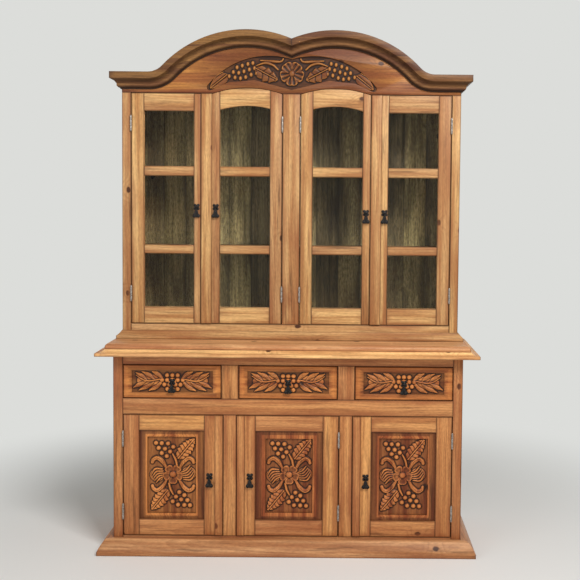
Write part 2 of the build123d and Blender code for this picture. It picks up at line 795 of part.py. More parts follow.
# ---------------------------------------------------------------- pulls
def pull_plate(x, z, surface):
    """Four-lobed plate with a boss, and two ears that hold the drop's pin."""
    back = Plane(origin=(x, surface, z), x_dir=(1, 0, 0), z_dir=(0, -1, 0))
    shape = RegularPolygon(pull_boss_radius, forged_side_count)
    for across in (-1, 1):
        for up in (-1, 1):
            place = Pos(across * pull_lobe_offset, up * pull_lobe_offset)
            shape = shape + place * RegularPolygon(pull_lobe_radius, forged_side_count)
    plate = extrude(back * shape, amount=pull_plate_thickness)
    pin_y = surface - pull_plate_thickness - pull_pin_reach
    inner = pull_eye_length / 2 + pull_eye_clearance
    plate_front = surface - pull_plate_thickness
    for side in (-1, 1):
        ear_x = sorted((x + side * inner, x + side * (inner + pull_ear_thickness)))
        half = pull_ear_width / 2
        ear = board(ear_x, (pin_y - half, plate_front), (z - half, z + half))
        nose = ear.edges().filter_by(Axis.X).group_by(Axis.Y)[0]
        plate = plate + chamfer(nose, half * 0.6)
    reach = 2 * (inner + pull_ear_thickness)
    pin = Pos(x, pin_y, z) * (Rot(0, 90, 0) * Cylinder(pull_pin_radius, reach))
    return plate + pin


def pull_drop(x, z, surface):
    """Flat drop that flares from its eye to two lobes."""
    pin_y = surface - pull_plate_thickness - pull_pin_reach
    front = Plane(origin=(x, pin_y, z), x_dir=(1, 0, 0), z_dir=(0, -1, 0))
    waist = drop_length * 0.3
    lobe_z = drop_lobe_radius - drop_length
    notch = (0, lobe_z - drop_lobe_radius * 0.35)
    right = [
        (drop_neck, 0),
        (drop_neck, -waist),
        (drop_half_width * 0.55, (lobe_z - waist) / 2 - drop_neck),
        (drop_half_width, lobe_z),
        (drop_half_width * 0.9, lobe_z - drop_lobe_radius * 0.75),
        (drop_half_width - drop_lobe_radius, -drop_length),
        (drop_half_width * 0.25, lobe_z - drop_lobe_radius * 0.75),
    ]
    left = [(-across, up) for across, up in reversed(right)]
    outline = Polyline(*right, notch, *left, close=True)
    drop = extrude(front * make_face(outline), amount=drop_thickness / 2, both=True)
    end = Plane(origin=(x - pull_eye_length / 2, pin_y, z), x_dir=(0, 1, 0), z_dir=(1, 0, 0))
    eye = extrude(end * RegularPolygon(pull_eye_radius, forged_side_count), amount=pull_eye_length)
    bore_radius = pull_pin_radius + pull_bore_clearance
    bore = Pos(x, pin_y, z) * (Rot(0, 90, 0) * Cylinder(bore_radius, 2 * pull_eye_length))
    return (drop + eye) - bore


def add_pull(owner, x, z, surface, plate_node):
    """A pull on a surface: its plate joins plate_node, and its drop has a node of its own."""
    add(plate_node, pull_plate(x, z, surface))
    add(owner + "_pull_drop", pull_drop(x, z, surface))


def catch(x, opening_top, inside_y):
    """Catch block behind the top of a door, screwed to the back of the rail above."""
    low = opening_top - catch_overlap
    return board(
        (x - catch_width / 2, x + catch_width / 2),
        (inside_y, inside_y + catch_depth),
        (low, low + catch_height),
    )


# ---------------------------------------------------------------- assembly
def hutch_doors():
    """Four glazed doors in two pairs; the right-hand door of each pair carries the strip."""
    outer = half_hutch - hutch_post_width
    inner = hutch_centre_post / 2
    joint_low = -hutch_pair_joint - strip_width / 2
    joint_high = hutch_pair_joint - strip_width / 2
    half_gap = door_gap / 2
    outer_pane = (outer_pane_inside, outer_pane_outside)
    inner_pane = (inner_pane_inside, inner_pane_outside)

    def flipped(span):
        return (-span[1], -span[0])

    doors = [
        # name, left limit, right limit, pane, arched, strip, hinge side
        ("far_left_door", -outer + hinge_gap, joint_low - half_gap, flipped(outer_pane), False, -1),
        ("inner_left_door", joint_low + half_gap, -inner - hinge_gap, flipped(inner_pane), True, 1),
        ("inner_right_door", inner + hinge_gap, joint_high - half_gap, inner_pane, True, -1),
        ("far_right_door", joint_high + half_gap, outer - hinge_gap, outer_pane, False, 1),
    ]
    for name, left, right, pane, arched, hinge_side in doors:
        hutch_door(name, (left, right), pane, arched, strip=hinge_side > 0)
        hinge_x = right + hinge_gap / 2 if hinge_side > 0 else left - hinge_gap / 2
        add_hinges(name, hinge_x, hutch_low, hutch_high, hutch_hinge_inset, hutch_front, -hinge_side)
        if hinge_side > 0:
            pull_x = (left + strip_width + pane[0]) / 2
        else:
            pull_x = right - drop_half_width
        pull_z = hutch_low + hutch_pull_height - (right_pair_lower_by if left > 0 else 0)
        add_pull(name, pull_x, pull_z, hutch_front, name + "_ironwork")
    for joint in (joint_low, joint_high):
        add("door_catches", catch(joint, hutch_high, hutch_inside_y))


def buffet_doors():
    """Three panelled doors; the left one hangs on the left and the others on the right."""
    edge = half_buffet - buffet_post_width
    near = buffet_inner_post_centre - buffet_inner_post_width / 2
    far = buffet_inner_post_centre + buffet_inner_post_width / 2
    doors = [
        ("left_cupboard_door", -edge + hinge_gap, -far - door_gap, False),
        ("middle_cupboard_door", -near + door_gap, near - hinge_gap, True),
        ("right_cupboard_door", far + door_gap, edge - hinge_gap, True),
    ]
    for name, left, right, latch_left in doors:
        buffet_door(name, (left, right), latch_left)
        hand = -1 if latch_left else 1
        hinge_x = right + hinge_gap / 2 if latch_left else left - hinge_gap / 2
        add_hinges(
            name, hinge_x, buffet_door_bottom, buffet_door_top, buffet_hinge_inset, buffet_front, hand
        )
        plain = buffet_latch_stile - latch_lip_width
        lip_end = left + latch_lip_width if latch_left else right - latch_lip_width
        pull_x = lip_end + plain / 2 if latch_left else lip_end - plain / 2
        add_pull(
            name, pull_x, buffet_door_bottom + buffet_pull_height, buffet_front, name + "_ironwork"
        )
        add("door_catches", catch(pull_x, buffet_door_top, buffet_inside_y))


def build():
    """Makes every node."""
    buffet_carcase()
    add("base_moulding", *mitred_moulding(base_moulding_face, half_buffet, buffet_front, base_projection))
    counter()
    hutch_carcase()
    add(
        "hutch_moulding",
        *mitred_moulding(hutch_moulding_face, half_hutch, hutch_front, hutch_moulding_projection),
    )
    add("pediment_board", pediment_board())
    add("crown_moulding", *crown_moulding())
    hutch_doors()
    buffet_doors()
    for name, bay in zip(("left_drawer", "middle_drawer", "right_drawer"), drawer_bays()):
        drawer(name, bay)


build()
os.makedirs("parts", exist_ok=True)
for node, solids in nodes.items():
    export_step(Compound(children=solids), f"parts/{node}.step")
print(len(nodes), "nodes,", sum(len(solids) for solids in nodes.values()), "solids")
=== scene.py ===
"""Looks of a two-piece pine cabinet: a buffet with carved doors and drawers, and a glazed hutch.

Metres, in the cabinet's own frame: +X is to the right of someone who faces it, +Y runs to its back
and +Z is up. Sizes in the classes are millimetres, as a cabinet maker gives them.
"""

import json
import logging
import math
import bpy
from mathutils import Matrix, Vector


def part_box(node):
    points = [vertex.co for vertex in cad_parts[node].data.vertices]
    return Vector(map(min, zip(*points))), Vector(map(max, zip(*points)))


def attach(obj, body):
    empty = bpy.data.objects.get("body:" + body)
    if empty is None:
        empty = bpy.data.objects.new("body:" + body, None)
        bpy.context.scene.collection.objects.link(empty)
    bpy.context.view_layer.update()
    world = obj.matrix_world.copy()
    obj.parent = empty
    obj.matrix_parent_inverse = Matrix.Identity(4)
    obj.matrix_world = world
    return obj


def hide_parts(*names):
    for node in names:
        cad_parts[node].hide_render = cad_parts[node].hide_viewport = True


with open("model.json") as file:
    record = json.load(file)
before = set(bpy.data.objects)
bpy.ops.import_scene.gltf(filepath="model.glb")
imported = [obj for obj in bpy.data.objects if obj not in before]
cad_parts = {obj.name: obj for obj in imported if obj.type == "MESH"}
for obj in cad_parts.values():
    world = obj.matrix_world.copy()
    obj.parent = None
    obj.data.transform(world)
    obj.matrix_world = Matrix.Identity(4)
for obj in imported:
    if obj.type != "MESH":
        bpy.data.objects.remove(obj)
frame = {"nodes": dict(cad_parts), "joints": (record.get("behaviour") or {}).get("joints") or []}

import zlib
from collections.abc import Callable
from dataclasses import dataclass, field
from enum import Enum

import bpy
import numpy as np
from mathutils import Matrix, Vector

log = logging.getLogger("cabinet")

MM = 0.001
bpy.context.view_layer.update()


class Slot(Enum):
    """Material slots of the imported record."""

    PINE = "pine"
    DARK_PINE = "dark_pine"
    CARVED_PINE = "carved_pine"
    ROUGH_PINE = "rough_pine"
    IRON = "iron"
    HINGE_STEEL = "hinge_steel"


class Hand(Enum):
    """Side of the hinge pin that the door is on."""

    RIGHT = 1
    LEFT = -1


# ---------------------------------------------------------------- colours and shader nodes
TIMES = {"operation": "MULTIPLY"}
PLUS = {"operation": "ADD"}
TIMES_PLUS = {"operation": "MULTIPLY_ADD"}
LOWER = {"operation": "MINIMUM"}
HIGHER = {"operation": "MAXIMUM"}
LENGTH = {"operation": "LENGTH"}
SMOOTH = {"interpolation_type": "SMOOTHSTEP"}


def linear(code: str) -> tuple[float, float, float, float]:
    """Turns an sRGB colour into the linear one that a shader takes.

    Args:
        code: colour as "#RRGGBB".

    Returns:
        Linear red, green, blue and an alpha of one.
    """
    levels = [int(code[place : place + 2], 16) / 255 for place in (1, 3, 5)]
    red, green, blue = (
        level / 12.92 if level <= 0.04045 else ((level + 0.055) / 1.055) ** 2.4 for level in levels
    )
    return red, green, blue, 1.0


def add(
    tree: bpy.types.NodeTree,
    kind: str,
    settings: dict | None = None,
    inputs: dict | None = None,
) -> bpy.types.Node:
    """Adds a shader node with its settings, values and links.

    Args:
        tree: node tree that gets the node.
        kind: node type after its common "ShaderNode".
        settings: the node's properties by name.
        inputs: values, nodes (their first output) or sockets, by the input's name or number.

    Returns:
        The new node.
    """
    node = tree.nodes.new("ShaderNode" + kind)
    for name, value in (settings or {}).items():
        setattr(node, name, value)
    for name, value in (inputs or {}).items():
        if isinstance(value, bpy.types.Node):
            value = value.outputs[0]
        if isinstance(value, bpy.types.NodeSocket):
            tree.links.new(value, node.inputs[name])
        else:
            node.inputs[name].default_value = value
    return node


def band(start: float, end: float) -> dict[str, float]:
    """Inputs with which a map range node gives 0 at start and 1 at end."""
    return {"From Min": start, "From Max": end}


def span(low: float, high: float) -> dict[str, float]:
    """Inputs with which a map range node gives low for 0 and high for 1."""
    return {"To Min": low, "To Max": high}


def lay_over(
    tree: bpy.types.NodeTree,
    under: bpy.types.NodeSocket | tuple,
    tone: str,
    strength: float,
    *masks: bpy.types.Node | bpy.types.NodeSocket,
) -> bpy.types.NodeSocket:
    """Lays a tone over a colour, as stain and wax go over wood.

    Args:
        tree: node tree.
        under: the colour so far.
        tone: the layer's own colour, as "#RRGGBB".
        strength: how far the layer covers where its masks are one.
        masks: where the layer lies, from 0 to 1. It lies where all of them say so.

    Returns:
        The colour with the layer on it.
    """
    share = strength
    for mask in masks:
        share = add(tree, "Math", TIMES, {0: mask, 1: share})
    mixed = add(tree, "Mix", {"data_type": "RGBA"}, {0: share, 6: under, 7: linear(tone)})
    return mixed.outputs[2]


def new_material(name: str) -> tuple[bpy.types.Material, bpy.types.NodeTree]:
    """Makes an empty node material.

    Args:
        name: name of the finish.

    Returns:
        The material and its node tree.
    """
    material = bpy.data.materials.new(name)
    material.use_nodes = True
    material.node_tree.nodes.clear()
    return material, material.node_tree


# ---------------------------------------------------------------- finishes
@dataclass(frozen=True)
class Marks:
    """Marks in the wood, drawn out along the board.

    Attributes:
        along: how many fit in a metre of the board's length.
        across: how many fit in a metre of its width or its thickness.
        detail: octaves of finer marks in them.
    """

    along: float
    across: float
    detail: float = 2.0

    def noise(self, tree: bpy.types.NodeTree, wood: bpy.types.Node) -> bpy.types.Node:
        """Noise of these marks.

        Args:
            tree: node tree.
            wood: board coordinates with the board's own slide.

        Returns:
            The noise node.
        """
        scale = (self.along, self.across, self.across)
        place = add(tree, "VectorMath", TIMES, {0: wood, 1: scale})
        return add(tree, "TexNoise", inputs={"Vector": place, "Scale": 1.0, "Detail": self.detail})


# Fibres are drawn about 6 mm wide and 170 mm long, many times a real fibre, so that they show.
FIBRES = Marks(6.0, 165.0)
STREAKS = Marks(1.5, 36.0)
PATCHES = Marks(3.2, 11.0, 3.0)
SMEARS = Marks(4.5, 70.0, 3.0)
PORES = Marks(60.0, 200.0, 4.0)
# Slow drift of the rings, and the ragged rim of a knot.
DRIFT = Marks(1.6, 7.0)
RAGS = Marks(60.0, 60.0)


@dataclass(frozen=True)
class PineFinish:
    """Solid knotty pine, planed by hand, stained and waxed.

    The eye sees wide growth rings that open into arches, long streaks where the stain took
    unevenly, a few brown knots that the rings bend round, dark wax in the corners, and painted
    shade and painted highlights where a piece marks its hollows and crests.

    Attributes:
        name: name of the material.
        early: soft wood between the rings, the lightest tone.
        streak: long darker streaks.
        warm: reddish patches where the stain went in deeper.
        late: hard line at the end of each ring.
        knot: knots.
        grime_and_shade: stain and wax at joints and in smears, and in hollows stain and wax with
            painted shade.
        unevenness: how far the reddish patches cover, from 0 to 1.
        ring_spacing: millimetres between rings. Pine has 3 to 6; drawn at 9, to show.
        ring_strength: how plain the late wood is, from 0 to 1.
        ring_wander: millimetres that slow drift moves the rings.
        pith_slant: how far the pith runs aside in a metre of the board, in metres.
        pith_depth: millimetres from the board's middle back to the pith.
        knots: share of the places for a knot that hold one.
        knot_places: places for a knot in a metre along and across the board.
        knot_push: how far a knot pushes the rings aside, in millimetres.
        board_spread: how far whole boards differ in tone, as a share of their brightness.
        board_hues: hue of the yellowest and of the reddest board, where 0.5 changes nothing.
        gloss: lowest and highest roughness.
        relief: depth of the raised grain, in millimetres.
        dark_middle: share of the red stain over the middle of a board's length.
        mottle: how far the pores and saw marks vary the brightness, as a share of it.
        border: millimetres from a board's edge over which its deeper stain fades out.
        joint: millimetres from a board's edge over which dark wax fades out.
    """

    name: str
    early: str = "#CEA26B"
    streak: str = "#AA7849"
    warm: str = "#955C37"
    late: str = "#7F4E2B"
    knot: str = "#452410"
    grime_and_shade: str = "#3A1E0D"
    unevenness: float = 0.5
    ring_spacing: float = 9.0
    ring_strength: float = 0.24
    ring_wander: float = 55.0
    pith_slant: float = 0.035
    pith_depth: float = 55.0
    knots: float = 0.34
    knot_places: tuple[float, float] = (4.4, 6.8)
    knot_push: float = 20.0
    board_spread: float = 0.14
    board_hues: tuple[float, float] = (0.493, 0.503)
    gloss: tuple[float, float] = (0.38, 0.56)
    relief: float = 0.35
    dark_middle: float = 0.0
    mottle: float = 0.15
    border: tuple[float, float] = (26.0, 3.0)
    joint: tuple[float, float] = (4.5, 0.8)

    def material(self) -> bpy.types.Material:
        """Builds the node material from the attributes that lay_grain writes on a piece.

        Returns:
            The material.
        """
        material, tree = new_material(self.name)
        place, reach, cut = (
            add(tree, "Attribute", {"attribute_name": name}).outputs["Vector"]
            for name in ("board", "reach", "cut")
        )
        slide, pith, tone = add(tree, "SeparateXYZ", inputs={0: cut}).outputs
        offset = add(tree, "CombineXYZ", inputs={0: slide, 1: 0.0, 2: slide})
        wood = add(tree, "VectorMath", PLUS, {0: place, 1: offset})
        knot, push = self.knot_masks(tree, wood)
        rings = self.rings(tree, wood, place, pith, push)
        fibres, streaks, patches = (
            marks.noise(tree, wood) for marks in (FIBRES, STREAKS, PATCHES)
        )

        colour = self.stained(tree, wood, place, streaks, patches)
        colour = lay_over(tree, colour, self.late, self.ring_strength, rings)
        fibrous = add(tree, "MapRange", SMOOTH, {"Value": fibres, **band(0.5, 0.72)})
        colour = lay_over(tree, colour, self.late, 0.4, fibrous)
        smears = SMEARS.noise(tree, wood)
        smeared = add(tree, "MapRange", SMOOTH, {"Value": smears, **band(0.55, 0.74)})
        colour = lay_over(tree, colour, self.grime_and_shade, 0.5, smeared)
        colour = self.toned(tree, wood, tone, colour)
        colour = lay_over(tree, colour, self.knot, 1.0, knot)
        colour = self.waxed(tree, place, reach, patches, colour)

        roughness = add(tree, "MapRange", inputs={"Value": streaks, **span(*self.gloss)})
        heights = add(tree, "Math", TIMES_PLUS, {0: rings, 1: -0.5, 2: fibres})
        heights = add(tree, "Math", {"operation": "SUBTRACT"}, {0: heights, 1: knot})
        bump = add(
            tree, "Bump", inputs={"Strength": 0.7, "Distance": self.relief * MM, "Height": heights}
        )
        shader = add(
            tree,
            "BsdfPrincipled",
            inputs={
                "Base Color": colour,
                "Roughness": roughness,
                "Normal": bump,
                "IOR": 1.47,
                "Specular IOR Level": 0.28,
            },
        )
        add(tree, "OutputMaterial", inputs={"Surface": shader})
        return material

    def stained(
        self,
        tree: bpy.types.NodeTree,
        wood: bpy.types.Node,
        place: bpy.types.NodeSocket,
        streaks: bpy.types.Node,
        patches: bpy.types.Node,
    ) -> bpy.types.NodeSocket:
        """Soft wood as the stain took on it: in streaks, and deeper in patches.

        Args:
            tree: node tree.
            wood: board coordinates with the board's own slide.
            place: board coordinates, along, across and through.
            streaks: noise of the streaks.
            patches: noise of the patches.

        Returns:
            The colour.
        """
        streaky = add(tree, "MapRange", SMOOTH, {"Value": streaks, **band(0.38, 0.66)})
        colour = lay_over(tree, linear(self.early), self.streak, 1.0, streaky)
        patchy = band(0.72 - 0.3 * self.unevenness, 0.86)
        reddish = add(tree, "MapRange", SMOOTH, {"Value": patches, **patchy})
        colour = lay_over(tree, colour, self.warm, 1.0, reddish)
        if self.dark_middle:
            along = add(tree, "VectorMath", {"operation": "DOT_PRODUCT"}, {0: place, 1: (1, 0, 0)})
            away = add(tree, "Math", {"operation": "ABSOLUTE"}, {0: along.outputs["Value"]})
            middle = add(tree, "MapRange", SMOOTH, {"Value": away, **band(0.5, 0.2)})
            colour = lay_over(tree, colour, self.late, self.dark_middle, middle)
        return colour

    def toned(
        self,
        tree: bpy.types.NodeTree,
        wood: bpy.types.Node,
        tone: bpy.types.NodeSocket,
        colour: bpy.types.NodeSocket,
    ) -> bpy.types.NodeSocket:
        """Gives each board a brightness and a hue of its own, and mottles it with pores.

        Args:
            tree: node tree.
            wood: board coordinates with the board's own slide.
            tone: the board's tone, from 0 to 1.
            colour: the colour so far.

        Returns:
            The colour.
        """
        spread = span(1 - self.board_spread, 1 + self.board_spread)
        brightness = add(tree, "MapRange", inputs={"Value": tone, **spread})
        uneven = {**band(0.3, 0.7), **span(1 - self.mottle, 1 + self.mottle)}
        mottled = add(tree, "MapRange", inputs={"Value": PORES.noise(tree, wood), **uneven})
        brightness = add(tree, "Math", TIMES, {0: brightness, 1: mottled})
        hue = add(tree, "MapRange", inputs={"Value": tone, **span(*self.board_hues)})
        changes = {"Hue": hue, "Value": brightness, "Color": colour}
        return add(tree, "HueSaturation", inputs=changes).outputs[0]

    def waxed(
        self,
        tree: bpy.types.NodeTree,
        place: bpy.types.NodeSocket,
        reach: bpy.types.NodeSocket,
        patches: bpy.types.Node,
        colour: bpy.types.NodeSocket,
    ) -> bpy.types.NodeSocket:
        """Darkens borders, joints and hollows, where stain and wax gather and shade is painted,
        and paints highlights on crests.

        Args:
            tree: node tree.
            place: board coordinates, along, across and through.
            reach: half of the board's size along each of them.
            patches: noise of the patches.
            colour: the colour so far.

        Returns:
            The colour.
        """
        hollow = add(tree, "Attribute", {"attribute_name": "hollow"}).outputs["Fac"]
        edge = self.edge_distance(tree, place, reach)
        border, joint = (
            add(tree, "MapRange", SMOOTH, {"Value": edge, **band(start * MM, end * MM)})
            for start, end in (self.border, self.joint)
        )
        some = add(tree, "MapRange", SMOOTH, {"Value": patches, **band(0.36, 0.62)})
        # Below zero the attribute marks a painted highlight, laid in the early wood's tone.
        worn = add(tree, "MapRange", SMOOTH, {"Value": hollow, **band(0.0, -1.0)})
        colour = lay_over(tree, colour, self.warm, 0.6, border, some)
        colour = lay_over(tree, colour, self.grime_and_shade, 0.6, joint)
        colour = lay_over(tree, colour, self.early, 0.8, worn)
        # Above zero it marks stain and wax together with painted shade, laid in the dark tone.
        return lay_over(tree, colour, self.grime_and_shade, 0.96, hollow)

    def rings(
        self,
        tree: bpy.types.NodeTree,
        wood: bpy.types.Node,
        place: bpy.types.NodeSocket,
        pith: bpy.types.NodeSocket,
        push: bpy.types.Node,
    ) -> bpy.types.Node:
        """Late wood of growth rings about a pith that runs aslant outside the board.

        Args:
            tree: node tree.
            wood: board coordinates with the board's own slide.
            place: board coordinates, along, across and through.
            pith: how far to the side of the board's middle the pith lies.
            push: how far a knot pushes the rings outwards.

        Returns:
            The node whose output is one on late wood.
        """
        along, across, through = add(tree, "SeparateXYZ", inputs={0: place}).outputs
        aslant = add(tree, "Math", TIMES_PLUS, {0: along, 1: self.pith_slant, 2: pith})
        side = add(tree, "Math", PLUS, {0: across, 1: aslant})
        depth = add(tree, "Math", PLUS, {0: through, 1: self.pith_depth * MM})
        spot = add(tree, "CombineXYZ", inputs={0: side, 1: depth, 2: 0.0})
        radius = add(tree, "VectorMath", LENGTH, {0: spot}).outputs["Value"]
        wander = {0: DRIFT.noise(tree, wood), 1: self.ring_wander * MM, 2: radius}
        drifted = add(tree, "Math", TIMES_PLUS, wander)
        pushed = add(tree, "Math", PLUS, {0: drifted, 1: push})
        spacing = self.ring_spacing * MM
        count = add(tree, "Math", {"operation": "DIVIDE"}, {0: pushed, 1: spacing})
        phase = add(tree, "Math", {"operation": "FRACT"}, {0: count})
        rise = add(tree, "MapRange", SMOOTH, {"Value": phase, **band(0.35, 0.9)})
        fall = add(tree, "MapRange", SMOOTH, {"Value": phase, **band(1.0, 0.93)})
        return add(tree, "Math", TIMES, {0: rise, 1: fall})

    def knot_masks(
        self, tree: bpy.types.NodeTree, wood: bpy.types.Node
    ) -> tuple[bpy.types.Node, bpy.types.Node]:
        """Knots of 12 to 25 mm, in about every third of the places for one.

        Args:
            tree: node tree.
            wood: board coordinates with the board's own slide.

        Returns:
            The mask of the knots, and how far they push the rings, in metres.
        """
        places = add(tree, "VectorMath", TIMES, {0: wood, 1: (*self.knot_places, 0.0)})
        flat = {"voronoi_dimensions": "2D"}
        cells = add(tree, "TexVoronoi", flat, {"Vector": places, "Scale": 1.0})
        distance = cells.outputs["Distance"]
        choice = add(tree, "SeparateColor", inputs={0: cells.outputs["Color"]})
        held = add(tree, "Math", {"operation": "LESS_THAN"}, {0: choice, 1: self.knots})
        ragged = add(tree, "Math", TIMES_PLUS, {0: RAGS.noise(tree, wood), 1: 0.035, 2: distance})
        core = add(tree, "MapRange", SMOOTH, {"Value": ragged, **band(0.088, 0.055)})
        bend = add(tree, "MapRange", SMOOTH, {"Value": distance, **band(0.26, 0.02)})
        bend = add(tree, "Math", TIMES, {0: bend, 1: held})
        push = add(tree, "Math", TIMES, {0: bend, 1: self.knot_push * MM})
        return add(tree, "Math", TIMES, {0: core, 1: held}), push

    @staticmethod
    def edge_distance(
        tree: bpy.types.NodeTree, place: bpy.types.NodeSocket, reach: bpy.types.NodeSocket
    ) -> bpy.types.Node:
        """Distance to the nearest edge of a board, where dark wax gathers.

        It is the second of the three distances to the board's sides.

        Args:
            tree: node tree.
            place: board coordinates, along, across and through.
            reach: half of the board's size along each of them.

        Returns:
            The node that gives the distance, in metres.
        """
        size = add(tree, "VectorMath", {"operation": "ABSOLUTE"}, {0: place})
        left = add(tree, "VectorMath", {"operation": "SUBTRACT"}, {0: reach, 1: size})
        one, two, three = add(tree, "SeparateXYZ", inputs={0: left}).outputs
        low = add(tree, "Math", LOWER, {0: one, 1: two})
        high = add(tree, "Math", HIGHER, {0: one, 1: two})
        capped = add(tree, "Math", LOWER, {0: high, 1: three})
        return add(tree, "Math", HIGHER, {0: low, 1: capped})


@dataclass(frozen=True)
class IronFinish:
    """Iron beaten over an anvil and blackened in oil: dark, with soft facets and worn high spots.

    Attributes:
        name: name of the material.
        skin: oil-blackened surface.
        worn: paler metal where hands rub it.
        dent: millimetres across a hammer mark.
        dent_depth: millimetres that it sinks.
        rubs: how many worn spots fit in a metre.
        gloss: lowest and highest roughness.
    """

    name: str = "blackened_iron"
    skin: str = "#1B1918"
    worn: str = "#3A3634"
    dent: float = 4.0
    dent_depth: float = 0.5
    rubs: float = 260.0
    gloss: tuple[float, float] = (0.3, 0.6)

    def material(self) -> bpy.types.Material:
        """Builds the node material.

        Returns:
            The material.
        """
        material, tree = new_material(self.name)
        place = add(tree, "TexCoord").outputs["Object"]
        marks = add(
            tree,
            "TexVoronoi",
            {"feature": "SMOOTH_F1"},
            {"Vector": place, "Scale": 1 / (self.dent * MM), "Smoothness": 0.6},
        )
        spots = {"Vector": place, "Scale": self.rubs, "Detail": 3.0}
        rust = add(tree, "TexNoise", inputs=spots)
        rubbed = add(tree, "MapRange", SMOOTH, {"Value": rust, **band(0.45, 0.75)})
        colour = lay_over(tree, linear(self.skin), self.worn, 1.0, rubbed)
        roughness = add(tree, "MapRange", inputs={"Value": rust, **span(*self.gloss)})
        sunk = {"Distance": self.dent_depth * MM, "Height": marks.outputs["Distance"]}
        bump = add(tree, "Bump", inputs={"Strength": 0.5, **sunk})
        shader = add(
            tree,
            "BsdfPrincipled",
            inputs={"Base Color": colour, "Metallic": 0.7, "Roughness": roughness, "Normal": bump},
        )
        add(tree, "OutputMaterial", inputs={"Surface": shader})
        return material


@dataclass(frozen=True)
class ZincFinish:
    """Pressed steel with dull zinc plating: pale grey, satin, with fine rolling marks.

    Attributes:
        name: name of the material.
        pale: plating where it is clean.
        dull: plating where it has gone dull.
        rolling: rolling marks in a metre across, deep and high, where they run upright.
        mark_depth: millimetres that a rolling mark sinks.
        blooms: how many dull clouds fit in a metre.
        gloss: lowest and highest roughness.
    """

    name: str = "zinc_plated_steel"
    pale: str = "#A39B94"
    dull: str = "#7B736C"
    rolling: tuple[float, float, float] = (900.0, 900.0, 60.0)
    mark_depth: float = 0.05
    blooms: float = 190.0
    gloss: tuple[float, float] = (0.32, 0.5)

    def material(self) -> bpy.types.Material:
        """Builds the node material.

        Returns:
            The material.
        """
        material, tree = new_material(self.name)
        place = add(tree, "TexCoord").outputs["Object"]
        drawn = add(tree, "VectorMath", TIMES, {0: place, 1: self.rolling})
        marks = add(tree, "TexNoise", inputs={"Vector": drawn, "Scale": 1.0, "Detail": 2.0})
        clouds = {"Vector": place, "Scale": self.blooms, "Detail": 2.0}
        bloom = add(tree, "TexNoise", inputs=clouds)
        clouded = add(tree, "MapRange", SMOOTH, {"Value": bloom, **band(0.4, 0.65)})
        colour = lay_over(tree, linear(self.pale), self.dull, 1.0, clouded)
        roughness = add(tree, "MapRange", inputs={"Value": bloom, **span(*self.gloss)})
        sunk = {"Distance": self.mark_depth * MM, "Height": marks}
        bump = add(tree, "Bump", inputs={"Strength": 0.3, **sunk})
        shader = add(
            tree,
            "BsdfPrincipled",
            inputs={"Base Color": colour, "Metallic": 0.6, "Roughness": roughness, "Normal": bump},
        )
        add(tree, "OutputMaterial", inputs={"Surface": shader})
        return material


@dataclass(frozen=True)
class GlassFinish:
    """Drawn window glass of 3 mm: clear, with a breath of dust and a slow ripple.

    Attributes:
        name: name of the material.
        tint: colour that it gives what lies behind.
        ripple: millimetres between the crests of the ripple.
        ripple_depth: height of its crests, in millimetres.
        dust: roughness where it is clean and where dust lies.
        specks: how many drifts of dust fit in a metre.
        ior: index of refraction, under a pane's 1.5 so that no pale room veils the inside.
    """

    name: str = "window_glass"
    tint: str = "#F4F8F5"
    ripple: float = 60.0
    ripple_depth: float = 1.0
    dust: tuple[float, float] = (0.01, 0.05)
    specks: float = 14.0
    ior: float = 1.2

    def material(self) -> bpy.types.Material:
        """Builds the node material.

        Returns:
            The material.
        """
        material, tree = new_material(self.name)
        place = add(tree, "TexCoord").outputs["Object"]
        waves = add(tree, "TexNoise", inputs={"Vector": place, "Scale": 1 / (self.ripple * MM)})
        crests = {"Distance": self.ripple_depth * MM, "Height": waves}
        bump = add(tree, "Bump", inputs={"Strength": 0.08, **crests})
        drifts = {"Vector": place, "Scale": self.specks, "Detail": 4.0}
        dusty = add(tree, "TexNoise", inputs=drifts)
        roughness = add(tree, "MapRange", inputs={"Value": dusty, **span(*self.dust)})
        shader = add(
            tree,
            "BsdfPrincipled",
            inputs={
                "Base Color": linear(self.tint),
                "Roughness": roughness,
                "Transmission Weight": 1.0,
                "IOR": self.ior,
                "Specular IOR Level": 0.15,
                "Normal": bump,
            },
        )
        add(tree, "OutputMaterial", inputs={"Surface": shader})
        return material


HONEY_PINE = PineFinish("waxed_honey_pine")
AMBER_PINE = PineFinish(
    "waxed_amber_pine",
    early="#CF9359",
    streak="#B07341",
    warm="#8F4E2B",
    late="#7A4525",
    unevenness=0.62,
)
DARK_PINE = PineFinish(
    "waxed_brown_pine",
    early="#B97C3E",
    streak="#8E5228",
    warm="#6A3218",
    late="#5A2C14",
    grime_and_shade="#1E0C05",
    unevenness=0.95,
    ring_strength=0.26,
    dark_middle=0.8,
)
# The crown's pine is darkened with painted shade, as the crown is lit less than the rest.
SHADED_CROWN_PINE = PineFinish(
    "waxed_crown_pine",
    early="#855D32",
    streak="#674023",
    warm="#442413",
    late="#3B1F10",
    grime_and_shade="#1F0F07",
    unevenness=0.7,
    ring_strength=0.22,
)
